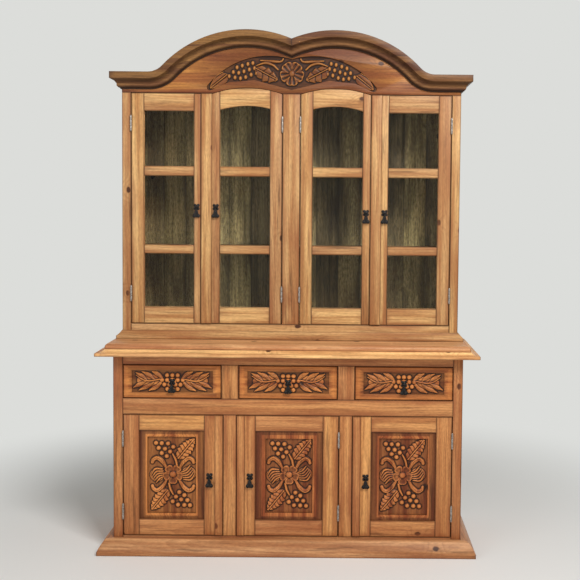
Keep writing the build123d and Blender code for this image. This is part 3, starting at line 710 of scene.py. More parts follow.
# Honey pine brightened with a painted highlight, for the counter's top and moulding where they
# catch the light.
HIGHLIT_HONEY_PINE = PineFinish(
    "rubbed_honey_pine",
    early="#EBB87C",
    streak="#C48A56",
    warm="#AC6A42",
    late="#935B34",
    unevenness=0.4,
)
BASE_PINE = PineFinish(
    "scuffed_pine",
    early="#C08B5F",
    streak="#9E6740",
    warm="#8A4E30",
    late="#764225",
    unevenness=0.6,
)
CARVED_PINE = PineFinish(
    "carved_stained_pine",
    early="#D18646",
    streak="#9A5327",
    warm="#7A3B15",
    late="#683413",
    grime_and_shade="#1E0C04",
    unevenness=0.6,
    ring_strength=0.2,
    knots=0.12,
)
AGED_PINE = PineFinish(
    "aged_bare_pine",
    early="#948259",
    streak="#70613F",
    warm="#3D3222",
    late="#3A2C18",
    knot="#1A140B",
    grime_and_shade="#17110A",
    unevenness=1.0,
    ring_strength=0.22,
    knots=0.16,
    board_spread=0.42,
    gloss=(0.6, 0.8),
    relief=0.8,
    mottle=0.5,
)
ROUGH_PINE = PineFinish(
    "planed_bare_pine",
    early="#9C7746",
    streak="#7F5C35",
    warm="#684626",
    late="#5B3D21",
    gloss=(0.55, 0.75),
    relief=0.6,
)


Finish = PineFinish | IronFinish | ZincFinish | GlassFinish


# ---------------------------------------------------------------- working on meshes
# Faces that meet at less than FLAT are joined, and edges sharper than SHARP are rounded.
FLAT = math.radians(0.4)
SHARP = math.radians(32)
# Points of a CAD node that are nearer than one in this many to a metre are one point.
WELD_GRID = 1e5


def only(*pieces: bpy.types.Object) -> None:
    """Selects these objects and nothing else, and makes the first one active.

    Args:
        pieces: the objects.
    """
    bpy.ops.object.select_all(action="DESELECT")
    for piece in pieces:
        piece.select_set(True)
    bpy.context.view_layer.objects.active = pieces[0]


def in_edit_mode(piece: bpy.types.Object, operator: Callable, **settings: float | bool) -> None:
    """Runs an edit mode operator on all of a piece.

    Args:
        piece: piece to work on.
        operator: one of bpy.ops.mesh.
        settings: the operator's settings.
    """
    only(piece)
    bpy.ops.object.mode_set(mode="EDIT")
    bpy.ops.mesh.select_all(action="SELECT")
    operator(**settings)
    bpy.ops.object.mode_set(mode="OBJECT")


def blank(operator: Callable, **settings: object) -> bpy.types.Object:
    """Adds a primitive as a blank to shape, with nothing else selected.

    Args:
        operator: one of bpy.ops.mesh that adds a primitive.
        settings: the operator's settings, in metres.

    Returns:
        The new object.
    """
    bpy.ops.object.select_all(action="DESELECT")
    operator(**settings)
    return bpy.context.object


def new_piece(name: str, points: np.ndarray, faces: list[list[int]]) -> bpy.types.Object:
    """Makes an object at the origin from points and faces.

    Args:
        name: name of the piece.
        points: one row of three metres a point.
        faces: point numbers of each face.

    Returns:
        The linked object.
    """
    mesh = bpy.data.meshes.new(name)
    mesh.from_pydata(points.tolist(), [], faces)
    piece = bpy.data.objects.new(name, mesh)
    bpy.context.scene.collection.objects.link(piece)
    return piece


def points_of(piece: bpy.types.Object) -> np.ndarray:
    """Points of a piece's mesh.

    Args:
        piece: the piece.

    Returns:
        One row of three metres for each point.
    """
    points = np.empty(len(piece.data.vertices) * 3, np.float32)
    piece.data.vertices.foreach_get("co", points)
    return points.reshape(-1, 3)


def lowest_labels(count: int, one: np.ndarray, two: np.ndarray) -> np.ndarray:
    """Groups things that are linked in pairs.

    Args:
        count: how many things there are.
        one: first thing of each pair.
        two: second thing of each pair.

    Returns:
        For each thing the lowest number in its group.
    """
    label = np.arange(count)
    while True:
        low = np.minimum(label[one], label[two])
        lower = label.copy()
        np.minimum.at(lower, one, low)
        np.minimum.at(lower, two, low)
        lower = lower[lower]
        if np.array_equal(lower, label):
            return label
        label = lower


def solids_of(node: str) -> list[tuple[np.ndarray, np.ndarray]]:
    """Splits a CAD node's loose triangles into its solids, each with merged points.

    Triangles belong together where exactly two share an edge. Boards that only touch stay apart.

    Args:
        node: name of the CAD node.

    Returns:
        Points and triangles of each solid.
    """
    mesh = frame["nodes"][node].data
    points = points_of(frame["nodes"][node])
    corners = np.empty(len(mesh.loops), np.int32)
    mesh.loops.foreach_get("vertex_index", corners)
    grid = np.round(points * WELD_GRID).astype(np.int64)
    _, first, merged = np.unique(grid, axis=0, return_index=True, return_inverse=True)
    points = points[first]
    triangles = merged.reshape(-1)[corners.reshape(-1, 3)]
    sides = np.concatenate([triangles[:, [0, 1]], triangles[:, [1, 2]], triangles[:, [2, 0]]])
    sides.sort(axis=1)
    owner = np.tile(np.arange(len(triangles)), 3)
    key = sides[:, 0] * len(points) + sides[:, 1]
    order = np.argsort(key, kind="stable")
    owner = owner[order]
    _, start, uses = np.unique(key[order], return_index=True, return_counts=True)
    pair = start[uses == 2]
    label = lowest_labels(len(triangles), owner[pair], owner[pair + 1])
    solids = []
    for group in np.unique(label):
        members = triangles[label == group]
        kept, inner = np.unique(members, return_inverse=True)
        solids.append((points[kept], inner.reshape(-1, 3)))
    return solids


def boxes_of(node: str) -> list[tuple[np.ndarray, np.ndarray]]:
    """Low and high corners of each solid of a CAD node."""
    return [(points.min(axis=0), points.max(axis=0)) for points, _ in solids_of(node)]


def copy_of(node: str, name: str) -> bpy.types.Object:
    """Copies a CAD node, merges each solid and joins its flat faces.

    Args:
        node: name of the CAD node.
        name: name of the copy.

    Returns:
        The copy, an object at the origin.
    """
    points, faces = [], []
    start = 0
    for solid_points, triangles in solids_of(node):
        points.append(solid_points)
        faces.extend((triangles + start).tolist())
        start += len(solid_points)
    piece = new_piece(name, np.concatenate(points), faces)
    in_edit_mode(piece, bpy.ops.mesh.dissolve_limited, angle_limit=FLAT)
    return piece


def round_edges(piece: bpy.types.Object, width: float, segments: int = 2) -> None:
    """Rounds a piece's sharp edges, as a hand plane and wax do.

    Args:
        piece: piece to finish.
        width: millimetres.
        segments: facets across the rounding.
    """
    only(piece)
    bpy.ops.object.modifier_add(type="BEVEL")
    bevel = piece.modifiers[-1]
    bevel.width = width * MM
    bevel.segments = segments
    bevel.limit_method = "ANGLE"
    bevel.angle_limit = SHARP
    bevel.use_clamp_overlap = True
    bpy.ops.object.modifier_apply(modifier=bevel.name)
    bpy.ops.object.shade_smooth_by_angle(angle=SHARP)


def join(name: str, pieces: list[bpy.types.Object]) -> bpy.types.Object:
    """Joins pieces into one object.

    Args:
        name: name of the object and its mesh.
        pieces: the pieces. The first one takes in the others.

    Returns:
        The object.
    """
    only(*pieces)
    if len(pieces) > 1:
        bpy.ops.object.join()
    joined = bpy.context.view_layer.objects.active
    joined.name = name
    joined.data.name = name
    return joined


def settle(piece: bpy.types.Object) -> None:
    """Moves a piece's place, turn and scale into its mesh."""
    only(piece)
    bpy.ops.object.transform_apply(location=True, rotation=True, scale=True)


def copy_to(
    piece: bpy.types.Object, name: str, place: tuple[float, float, float], hand: Hand = Hand.RIGHT
) -> bpy.types.Object:
    """Copies a piece with a mesh of its own to another place.

    Args:
        piece: the piece as it was modelled, about the origin.
        name: name of the copy.
        place: where the origin goes, in metres.
        hand: LEFT mirrors the copy from side to side.

    Returns:
        The copy, with its place in its mesh.
    """
    mesh = piece.data.copy()
    mesh.transform(Matrix.Translation(place) @ Matrix.Diagonal((hand.value, 1, 1, 1)))
    if hand is Hand.LEFT:
        mesh.flip_normals()
    copy = bpy.data.objects.new(name, mesh)
    bpy.context.scene.collection.objects.link(copy)
    return copy


def write_attribute(piece: bpy.types.Object, name: str, kind: str, values: np.ndarray) -> None:
    """Stores one value for each point of a piece.

    Args:
        piece: piece that gets it.
        name: the attribute's name.
        kind: FLOAT or FLOAT_VECTOR.
        values: the values, in the order of the points.
    """
    attribute = piece.data.attributes.new(name, kind, "POINT")
    key = "vector" if kind == "FLOAT_VECTOR" else "value"
    attribute.data.foreach_set(key, np.ascontiguousarray(values, np.float32).ravel())


def cut_of(name: str, number: int) -> np.ndarray:
    """How a board was cut from its log.

    Args:
        name: name of the piece.
        number: which of its boards.

    Returns:
        Slide along the log and offset of the pith, in metres, and tone from 0 to 1.
    """
    random = np.random.default_rng(zlib.crc32(f"{name} {number}".encode()))
    return np.array([random.uniform(0, 40), random.uniform(-0.1, 0.1), random.uniform(0, 1)])


def lay_grain(piece: bpy.types.Object) -> None:
    """Gives every board of a piece its own grain, along its longest side.

    It writes each point's place in its board, the board's half size, how the board was cut from
    its log, and no stain or painted light.

    Args:
        piece: piece of one board or more.
    """
    points = points_of(piece)
    sides = np.empty(len(piece.data.edges) * 2, np.int32)
    piece.data.edges.foreach_get("vertices", sides)
    sides = sides.reshape(-1, 2)
    label = lowest_labels(len(points), sides[:, 0], sides[:, 1])
    board = np.zeros_like(points)
    reach = np.zeros_like(points)
    cut = np.zeros_like(points)
    for number, group in enumerate(np.unique(label)):
        members = np.flatnonzero(label == group)
        low, high = points[members].min(axis=0), points[members].max(axis=0)
        axes = np.argsort(low - high, kind="stable")
        board[members] = (points[members] - (low + high) / 2)[:, axes]
        reach[members] = ((high - low) / 2)[axes]
        cut[members] = cut_of(piece.name, number)
    write_attribute(piece, "board", "FLOAT_VECTOR", board)
    write_attribute(piece, "reach", "FLOAT_VECTOR", reach)
    write_attribute(piece, "cut", "FLOAT_VECTOR", cut)
    write_attribute(piece, "hollow", "FLOAT", np.zeros(len(points)))


# ---------------------------------------------------------------- carving
Points = list[tuple[float, float]]
# Only the rim of a carved slab is sharper than this.
CARVED_SHARP = math.radians(70)
# Millimetres that a carved slab reaches into the floor of the field it is set in.
SUNK = 0.3
# Millimetres behind the foremost face from which a face counts as falling back.
SLOPE_START = 0.2


def soften(level: np.ndarray, passes: int) -> np.ndarray:
    """Blurs a map by averaging each point with its neighbours, a number of times."""
    for _ in range(passes):
        wide = np.pad(level, 1, mode="edge")
        around = wide[:-2, 1:-1] + wide[2:, 1:-1] + wide[1:-1, :-2] + wide[1:-1, 2:]
        level = (around + 4 * level) / 8
    return level


def signed(points: Points, across: int, up: int = 1) -> Points:
    """Points turned over from side to side or upside down.

    Args:
        points: points of a drawing.
        across: -1 turns them over from side to side.
        up: -1 turns them upside down.

    Returns:
        The turned points.
    """
    return [(across * x, up * z) for x, z in points]


def smooth_line(points: Points) -> np.ndarray:
    """Draws a smooth line through points.

    Args:
        points: points of a drawing.

    Returns:
        Points about 1 mm apart on the line, one row each.
    """
    knots = np.array([points[0], *points, points[-1]], float)
    knots[0] = 2 * knots[1] - knots[2]
    knots[-1] = 2 * knots[-2] - knots[-3]
    parts = []
    for one, two, three, four in zip(knots, knots[1:], knots[2:], knots[3:]):
        count = max(3, int(np.hypot(*(three - two))))
        t = np.linspace(0, 1, count, endpoint=False)[:, None]
        bow = (2 * one - 5 * two + 4 * three - four) * t**2
        twist = (3 * two - one - 3 * three + four) * t**3
        parts.append(0.5 * (2 * two + (three - one) * t + bow + twist))
    return np.concatenate([*parts, knots[-2:-1]])


def stain_and_shade_by_depth(
    piece: bpy.types.Object, profile: list[tuple[float, float]], sides: bool = False
) -> None:
    """Darkens a piece where its face falls back, with stain and wax and with painted shade.

    The stain and painted shade are stored by face corner, so that they stop sharply at the edge of
    the
    foremost flat face: on every other face they start with the share that the profile has at
    SLOPE_START.

    Args:
        piece: piece whose grain is laid.
        profile: share of stain and painted shade by millimetres behind the foremost face; a share
            below zero is a painted highlight.
        sides: whether the piece's left and right ends are faces too.
    """
    points = points_of(piece) / MM
    depth = points[:, 1] - points[:, 1].min()
    if sides:
        reach = np.abs(points[:, 0])
        depth = np.minimum(depth, reach.max() - reach)
    mesh = piece.data
    corners = np.empty(len(mesh.loops), np.int32)
    mesh.loops.foreach_get("vertex_index", corners)
    counts = np.empty(len(mesh.polygons), np.int32)
    mesh.polygons.foreach_get("loop_total", counts)
    depth = depth[corners]
    starts = np.concatenate([[0], np.cumsum(counts)[:-1]])
    deepest = np.repeat(np.maximum.reduceat(depth, starts), counts)
    depth = np.where(deepest > SLOPE_START / 2, np.maximum(depth, SLOPE_START), depth)
    levels, shares = zip(*profile)
    share = np.interp(depth, levels, shares).astype(np.float32)
    mesh.attributes.remove(mesh.attributes["hollow"])
    mesh.attributes.new("hollow", "FLOAT", "CORNER").data.foreach_set("value", share)


def match_grain(
    piece: bpy.types.Object, board_name: str, box: tuple[np.ndarray, np.ndarray]
) -> None:
    """Runs a board's own grain on through a piece that is carved from it.

    Args:
        piece: the carved piece.
        board_name: name of the piece that the board belongs to.
        box: low and high corners of the board.
    """
    points = points_of(piece)
    axes = np.argsort(box[0] - box[1], kind="stable")
    board = (points - (box[0] + box[1]) / 2)[:, axes]
    write_attribute(piece, "board", "FLOAT_VECTOR", board)
    # Its edges lie out of reach, so that no wax gathers along the rim of the carved field.
    write_attribute(piece, "reach", "FLOAT_VECTOR", np.full_like(points, 2.0))
    cut = np.tile(cut_of(board_name, 0), (len(points), 1))
    write_attribute(piece, "cut", "FLOAT_VECTOR", cut)


@dataclass
class Relief:
    """Carved field as a map of heights above its sunk ground, in millimetres.

    Attributes:
        width: size of the field from side to side.
        height: size of the field from bottom to top.
        middle: the field's middle, from the point that the drawing is made about.
        pitch: distance between the map's points.
        stain: share of stain and painted shade on the sunk ground.
        x: how far each point of the map lies to the right of the drawing's middle.
        z: how far it lies above that.
        level: its height above the ground.
    """

    width: float
    height: float
    middle: tuple[float, float] = (0.0, 0.0)
    pitch: float = 1.2
    stain: float = 0.5
    x: np.ndarray = field(init=False, repr=False)
    z: np.ndarray = field(init=False, repr=False)
    level: np.ndarray = field(init=False, repr=False)

    def __post_init__(self) -> None:
        """Lays out the map, flat."""
        across = np.linspace(-self.width / 2, self.width / 2, round(self.width / self.pitch) + 1)
        up = np.linspace(-self.height / 2, self.height / 2, round(self.height / self.pitch) + 1)
        self.x, self.z = np.meshgrid(across + self.middle[0], up + self.middle[1], indexing="ij")
        self.level = np.zeros_like(self.x)

    def raise_to(self, form: np.ndarray) -> None:
        """Raises the map to a form wherever the form is the higher."""
        self.level = np.maximum(self.level, form)

    def grape(
        self, centre: tuple[float, float], radius: float, crest: float, long: float = 1.0
    ) -> None:
        """Ball that stands in its own small hollow.

        Args:
            centre: its place.
            radius: its radius from side to side.
            crest: its height.
            long: its height from bottom to top, as a share of its width.
        """
        out = np.hypot(self.x - centre[0], (self.z - centre[1]) / long) / radius
        self.raise_to(crest * np.sqrt(np.clip(1 - out**2, 0, 1)) ** 0.8)

    def stroke(
        self,
        points: Points,
        width: float,
        crest: float,
        ends: tuple[float, float] = (0.4, 0.4),
    ) -> None:
        """Half-round stem or scroll along a smooth line.

        Args:
            points: points of the line.
            width: its width in the middle.
            crest: its height.
            ends: width at its start and at its end, as shares of the middle's.
        """
        line = smooth_line(points)
        near = (
            (self.x > line[:, 0].min() - width)
            & (self.x < line[:, 0].max() + width)
            & (self.z > line[:, 1].min() - width)
            & (self.z < line[:, 1].max() + width)
        )
        off = np.hypot(self.x[near][:, None] - line[:, 0], self.z[near][:, None] - line[:, 1])
        share = off.argmin(axis=1) / (len(line) - 1)
        # It swells to its full width over the first 0.4 of the line, and thins over the last 0.4.
        start = ends[0] + (1 - ends[0]) * share / 0.4
        end = ends[1] + (1 - ends[1]) * (1 - share) / 0.4
        half = width / 2 * np.minimum(np.minimum(start, end), 1)
        form = np.zeros_like(self.level)
        bow = np.sqrt(np.clip(1 - (off.min(axis=1) / half) ** 2, 0, 1))
        form[near] = crest * bow * (0.55 + 0.45 * half / (width / 2))
        self.raise_to(form)

    def leaf(
        self,
        stem: tuple[float, float],
        tip: tuple[float, float],
        half_width: float,
        crest: float,
        teeth: int = 5,
        bend: float = 0.0,
        sides: tuple[float, float] = (1.0, 1.0),
    ) -> None:
        """Toothed leaf with a ridge along its middle and slanting veins cut in.

        Args:
            stem: where it starts.
            tip: where it ends.
            half_width: its widest half.
            crest: height of its blade.
            teeth: teeth along each side.
            bend: how far its middle bows to the left of its run.
            sides: share of the half width on its left and on its right.
        """
        run = np.array(tip) - np.array(stem)
        length = float(np.hypot(*run))
        unit = run / length
        along = ((self.x - stem[0]) * unit[0] + (self.z - stem[1]) * unit[1]) / length
        aside = (self.z - stem[1]) * unit[0] - (self.x - stem[0]) * unit[1]
        inside = np.clip(along, 0.001, 0.999)
        aside = aside - bend * 4 * inside * (1 - inside)
        half = half_width * np.where(aside > 0, sides[0], sides[1])
        off = np.abs(aside)
        # Teeth and veins slant forward, and a tooth takes up to 0.28 of the half width.
        swept = np.clip(along - off / length * 0.5, 0.001, 0.999)
        notch = 1 - 0.28 * ((swept * (teeth + 0.5)) % 1)
        edge = half * np.sin(np.pi * inside**0.8) ** 0.6 * notch
        body = np.clip((edge - off) / 1.6, 0, 1) * ((along > 0) & (along < 1))
        # The blade swells between cut veins, with a rib along its middle and a channel beside it.
        vein = np.abs((swept * (teeth + 0.5) + 0.45) % 1 - 0.5) * 2
        groove = 0.42 * np.clip(1 - vein * 2.6, 0, 1) * np.clip(off / 4, 0, 1)
        swell = 0.62 + 0.3 * np.sin(np.pi * np.clip(off / np.maximum(edge, 1), 0, 1))
        rib = 0.5 * np.exp(-((off / 2.1) ** 2)) * np.clip((1 - along) * 6, 0, 1)
        channel = 0.25 * np.exp(-(((off - 4.2) / 1.6) ** 2))
        self.raise_to(crest * body * (swell - groove + rib - channel))

    def petal(
        self,
        centre: tuple[float, float],
        angle: float,
        inner: float,
        outer: float,
        half_width: float,
        crest: float,
        ribs: int = 0,
    ) -> None:
        """Cupped petal with a raised and slightly notched rim.

        Args:
            centre: the flower's middle.
            angle: degrees from the right, counterclockwise.
            inner: where the petal starts, from the middle.
            outer: where it ends.
            half_width: its widest half.
            crest: height of its rim.
            ribs: ribs that fan out over it.
        """
        turn = math.radians(angle)
        along = (self.x - centre[0]) * math.cos(turn) + (self.z - centre[1]) * math.sin(turn)
        aside = (self.z - centre[1]) * math.cos(turn) - (self.x - centre[0]) * math.sin(turn)
        middle, half = (inner + outer) / 2, (outer - inner) / 2
        share = np.clip((along - inner) / (outer - inner), 0, 1)
        # It widens outwards, has a dent in the middle of its rim, and is cupped inside that.
        width = half_width * (0.45 + 0.55 * share**0.7)
        dent = 0.1 * np.exp(-((aside / (half_width * 0.25)) ** 2)) * (share > 0.6)
        out = np.hypot((along - middle) / half, aside / width) + dent
        body = np.clip((1 - out) * half / 2.4, 0, 1)
        cup = (0.3 + 0.7 * np.clip(out, 0, 1) ** 2.6) * (0.5 + 0.5 * share**0.8)
        if ribs:
            cup = cup + 0.2 * np.cos(2 * np.pi * ribs * aside / (2 * width))
        self.raise_to(crest * body * cup)

    def mirror(self) -> None:
        """Makes the left half the mirror image of the right half."""
        self.level = np.maximum(self.level, self.level[::-1, :])

    def hollows(self) -> np.ndarray:
        """Finds where stain and painted shade gather, and where a painted highlight lies on
        crests.

        Returns:
            For each point of the map 1 where stain and painted shade gather, down to -1 for a full
            painted highlight.
        """
        level = self.level
        close, near, wide = (soften(level, passes) for passes in (5, 30, 120))
        # Stain and painted shade gather on the sunk ground, round the feet of forms and in
        # creases.
        ground = np.clip(1 - level / 1.5, 0, 1)
        foot = np.clip(near - level, 0, 1)
        crease = np.clip((close - level) / 0.2, 0, 1)
        # Small forms get a painted highlight where they stand 0.6 mm proud, broad ones where they
        # stand 1.2 mm.
        small, broad = (level - near - 0.6) / 2.0, (level - wide - 1.2) / 3.6
        crest = np.clip(np.maximum(small, broad), 0, 1)
        return np.clip(self.stain * ground + 1.2 * foot + 0.9 * crease, 0, 1) - crest

    def slab(
        self, name: str, place: tuple[float, float, float], thickness: float
    ) -> bpy.types.Object:
        """Turns the map into a closed slab that faces the front.

        Args:
            name: name of the piece.
            place: where the drawing's own middle goes on the ground, in metres.
            thickness: millimetres behind the ground.

        Returns:
            The slab, with its place in its mesh.
        """
        level = soften(self.level, 1)
        columns, rows = level.shape
        front = np.stack(
            [place[0] + self.x * MM, place[1] - level * MM, place[2] + self.z * MM], axis=-1
        ).reshape(-1, 3)
        number = np.arange(columns * rows).reshape(columns, rows)
        quads = np.stack(
            [number[:-1, :-1], number[1:, :-1], number[1:, 1:], number[:-1, 1:]], axis=-1
        ).reshape(-1, 4)
        rim = np.concatenate(
            [number[:-1, 0], number[-1, :-1], number[:0:-1, -1], number[0, :0:-1]]
        )
        behind = front[rim].copy()
        behind[:, 1] = place[1] + thickness * MM
        back = len(front) + np.arange(len(rim))
        skirt = np.stack([rim, back, np.roll(back, -1), np.roll(rim, -1)], axis=-1)
        faces = quads.tolist() + skirt.tolist() + [back[::-1].tolist()]
        piece = new_piece(name, np.concatenate([front, behind]), faces)
        in_edit_mode(piece, bpy.ops.mesh.normals_make_consistent, inside=False)
        bpy.ops.object.shade_smooth_by_angle(angle=CARVED_SHARP)
        # Stain, painted shade and painted highlights from the map, and full stain with painted
        # shade on the skirt and back.
        hollow = np.concatenate([self.hollows().ravel(), np.ones(len(rim))])
        write_attribute(piece, "hollow", "FLOAT", hollow)
        return piece


# ---------------------------------------------------------------- sub-assemblies
class Palette:
    """The finishes, each made into a material once."""

    def __init__(self) -> None:
        """Starts with no material made."""
        self.made: dict[str, bpy.types.Material] = {}

    def material(self, finish: Finish) -> bpy.types.Material:
        """Material of a finish."""
        if finish.name not in self.made:
            self.made[finish.name] = finish.material()
        return self.made[finish.name]


@dataclass
class SubAssembly:
    """What moves together, and how its pieces are dressed.

    Attributes:
        body: body of the model that the pieces ride on.
        palette: the finishes.
    """

    body: str
    palette: Palette

    def dress(self, piece: bpy.types.Object, finish: Finish, slot: Slot, *nodes: str) -> None:
        """Gives a piece its finish, its body and the nodes it stands for.

        Args:
            piece: the finished piece.
            finish: its finish.
            slot: the record's slot for that finish; not used.
            nodes: CAD nodes that it replaces.
        """
        piece.data.materials.clear()
        piece.data.materials.append(self.palette.material(finish))
        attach(piece, self.body)
        if nodes:
            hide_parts(*nodes)
        log.info("%s: %d faces, on %s", piece.name, len(piece.data.polygons), self.body)

    def joinery(
        self, node: str, finish: PineFinish, slot: Slot, arris: float
    ) -> bpy.types.Object:
        """Boards of a CAD node with rounded edges and a grain of their own.

        Args:
            node: CAD node that the piece stands for.
            finish: its finish.
            slot: the record's slot for that finish.
            arris: millimetres of rounding.

        Returns:
            The finished piece.
        """
        piece = copy_of(node, node + "_wood")
        round_edges(piece, arris)
        lay_grain(piece)
        self.dress(piece, finish, slot, node)
        return piece


@dataclass
class Carcase(SubAssembly):
    """Fixed boards of both cabinets: frames, sides, backs, floors, shelves and mouldings.

    Attributes:
        arris: rounding of show edges, in millimetres.
        moulding_arris: rounding of the edges of planed mouldings.
        rough_arris: rounding of edges inside the cabinet.
    """

    arris: float = 1.4
    moulding_arris: float = 0.9
    rough_arris: float = 0.8

    def build(self) -> None:
        """Dresses every fixed board."""
        shown = {
            "hutch_face_frame": HONEY_PINE,
            "hutch_sides": HONEY_PINE,
            "counter_board": HIGHLIT_HONEY_PINE,
            "buffet_face_frame": AMBER_PINE,
            "buffet_sides": AMBER_PINE,
        }
        mouldings = {
            "base_moulding": BASE_PINE,
            "counter_moulding": HIGHLIT_HONEY_PINE,
            "hutch_moulding": HONEY_PINE,
        }
        hidden = {
            "buffet_back_boards": AGED_PINE,
            "hutch_back_boards": AGED_PINE,
            "buffet_floor": ROUGH_PINE,
            "drawer_runners": ROUGH_PINE,
            "hutch_floor_and_roof": ROUGH_PINE,
            "shelves": ROUGH_PINE,
            "door_catches": ROUGH_PINE,
        }
        for nodes, slot, arris in (
            (shown, Slot.PINE, self.arris),
            (mouldings, Slot.PINE, self.moulding_arris),
            (hidden, Slot.ROUGH_PINE, self.rough_arris),
        ):
            for node, finish in nodes.items():
                self.joinery(node, finish, slot, arris)


@dataclass
class CupboardDoor(SubAssembly):
    """Buffet door: mortised frame, raised panel, and the flower and grapes carved in its field.

    Attributes:
        flower: the flower's middle from the field's middle. Each door was carved on its own.
        field_width: carved field from side to side.
        field_height: carved field from bottom to top.
        pocket: the plain pocket that is cut wider to take the field, from side to side and up.
        field_depth: floor of the field behind the panel's border.
        ground: how far the carved ground lies in front of the field's floor.
        depth: height of the relief above its ground.
        grape: radius of a grape.
        spread: how far the drawing is drawn out, from side to side and up.
        arris: rounding of the frame's edges.
        panel_arris: rounding of the panel's edges.
    """

    flower: tuple[float, float] = (0.0, 3.0)
    field_width: float = 194.0
    field_height: float = 310.0
    pocket: tuple[float, float] = (179.0, 301.0)
    field_depth: float = 8.0
    ground: float = 0.4
    depth: float = 7.4
    grape: float = 8.3
    spread: tuple[float, float] = (1.05, 1.03)
    arris: float = 1.4
    panel_arris: float = 0.8

    def build(self) -> None:
        """Makes the frame, the panel and the carving."""
        self.joinery(self.body + "_frame", AMBER_PINE, Slot.PINE, self.arris)
        node = self.body + "_panel"
        panel = self.joinery(node, CARVED_PINE, Slot.CARVED_PINE, self.panel_arris)
        self.widen_pocket(panel)
        # The bevel darkens with stain and painted shade as it falls to the frame, and the pocket
        # as it falls to its floor.
        stain_and_shade_by_depth(panel, [(0, 0.05), (0.2, 0.5), (6.2, 0.72), (8.5, 0.95), (9.0, 0)])
        self.carving()

    def widen_pocket(self, panel: bpy.types.Object) -> None:
        """Moves the walls of the panel's pocket out to the edge of the field.

        Args:
            panel: the panel's piece.
        """
        points = points_of(panel)
        middle = (points.min(axis=0) + points.max(axis=0)) / 2
        offset = (points - middle)[:, [0, 2]] / MM
        pocket = np.array(self.pocket)
        # The 3 mm take in the rounded edge of the pocket's mouth.
        inside = (np.abs(offset) < pocket / 2 + 3).all(axis=1)
        wider = np.array([self.field_width, self.field_height]) / pocket
        points[np.ix_(inside, [0, 2])] = middle[[0, 2]] + offset[inside] * wider * MM
        panel.data.vertices.foreach_set("co", np.ascontiguousarray(points, np.float32).ravel())
        panel.data.update()

    def carved_map(self) -> Relief:
        """Five-petalled flower, four scrolls, two palmettes, two bunches of grapes and two leaves.

        All but the flower is the same after half a turn about the flower's middle.

        Returns:
            The map.
        """
        relief = Relief(self.field_width, self.field_height, (-self.flower[0], -self.flower[1]))
        relief.x, relief.z = relief.x / self.spread[0], relief.z / self.spread[1]
        depth = self.depth
        bunch = [
            (-65, 123), (-43, 122), (-19, 121), (1, 108), (-55, 103), (-31, 100), (-11, 89),
            (-43, 83), (-24, 71),
        ]
        scroll = [(25, 24), (40, 50), (59, 64), (74, 58), (79, 47)]
        ribs = [
            [(-41, 20), (-68, 20), (-84, -4)],
            [(-38, 12), (-63, 10), (-80, -12)],
            [(-36, 4), (-58, 1), (-76, -19)],
            [(-35, -3), (-54, -8), (-71, -27)],
            [(-33, -9), (-50, -17), (-65, -35)],
        ]
        stem = [(15, 36), (10, 58), (-1, 80)]
        leaf = [(19, 62), (82, 141)]
        for turn in (1, -1):
            for place in signed(bunch, turn, turn):
                relief.grape(place, self.grape, depth)
            for side in (-1, 1):
                line = signed(scroll, turn * side, turn)
                relief.stroke(line, 17.0, depth * 0.8, (0.5, 0.75))
                ridge = [(x, z + turn * 3.5) for x, z in line]
                relief.stroke(ridge, 7.0, depth * 1.05, (0.5, 0.75))
            relief.grape((turn * -60, turn * -3), 28, depth * 0.45, long=0.93)
            for rib in ribs:
                relief.stroke(signed(rib, turn, turn), 7.5, depth * 0.86, (0.6, 0.35))
            relief.stroke(signed(stem, turn, turn), 9.0, depth * 0.95, (0.9, 0.6))
            relief.leaf(*signed(leaf, turn, turn), 29, depth * 0.9, teeth=6)
        for number in range(5):
            relief.petal((0, 0), 54 + 72 * number, 7, 40, 21, depth)
        relief.grape((0, 0), 12.5, depth * 1.3)
        relief.x, relief.z = relief.x * self.spread[0], relief.z * self.spread[1]
        return relief

    def carving(self) -> None:
        """Sets the carved map into the panel's field."""
        panel = boxes_of(self.body + "_panel")[0]
        middle = (panel[0] + panel[1]) / 2
        front = panel[0][1] + (self.field_depth - self.ground) * MM
        place = (middle[0] + self.flower[0] * MM, front, middle[2] + self.flower[1] * MM)
        piece = self.carved_map().slab(self.body + "_carving", place, self.ground + SUNK)
        match_grain(piece, self.body + "_panel_wood", panel)
        self.dress(piece, CARVED_PINE, Slot.CARVED_PINE)


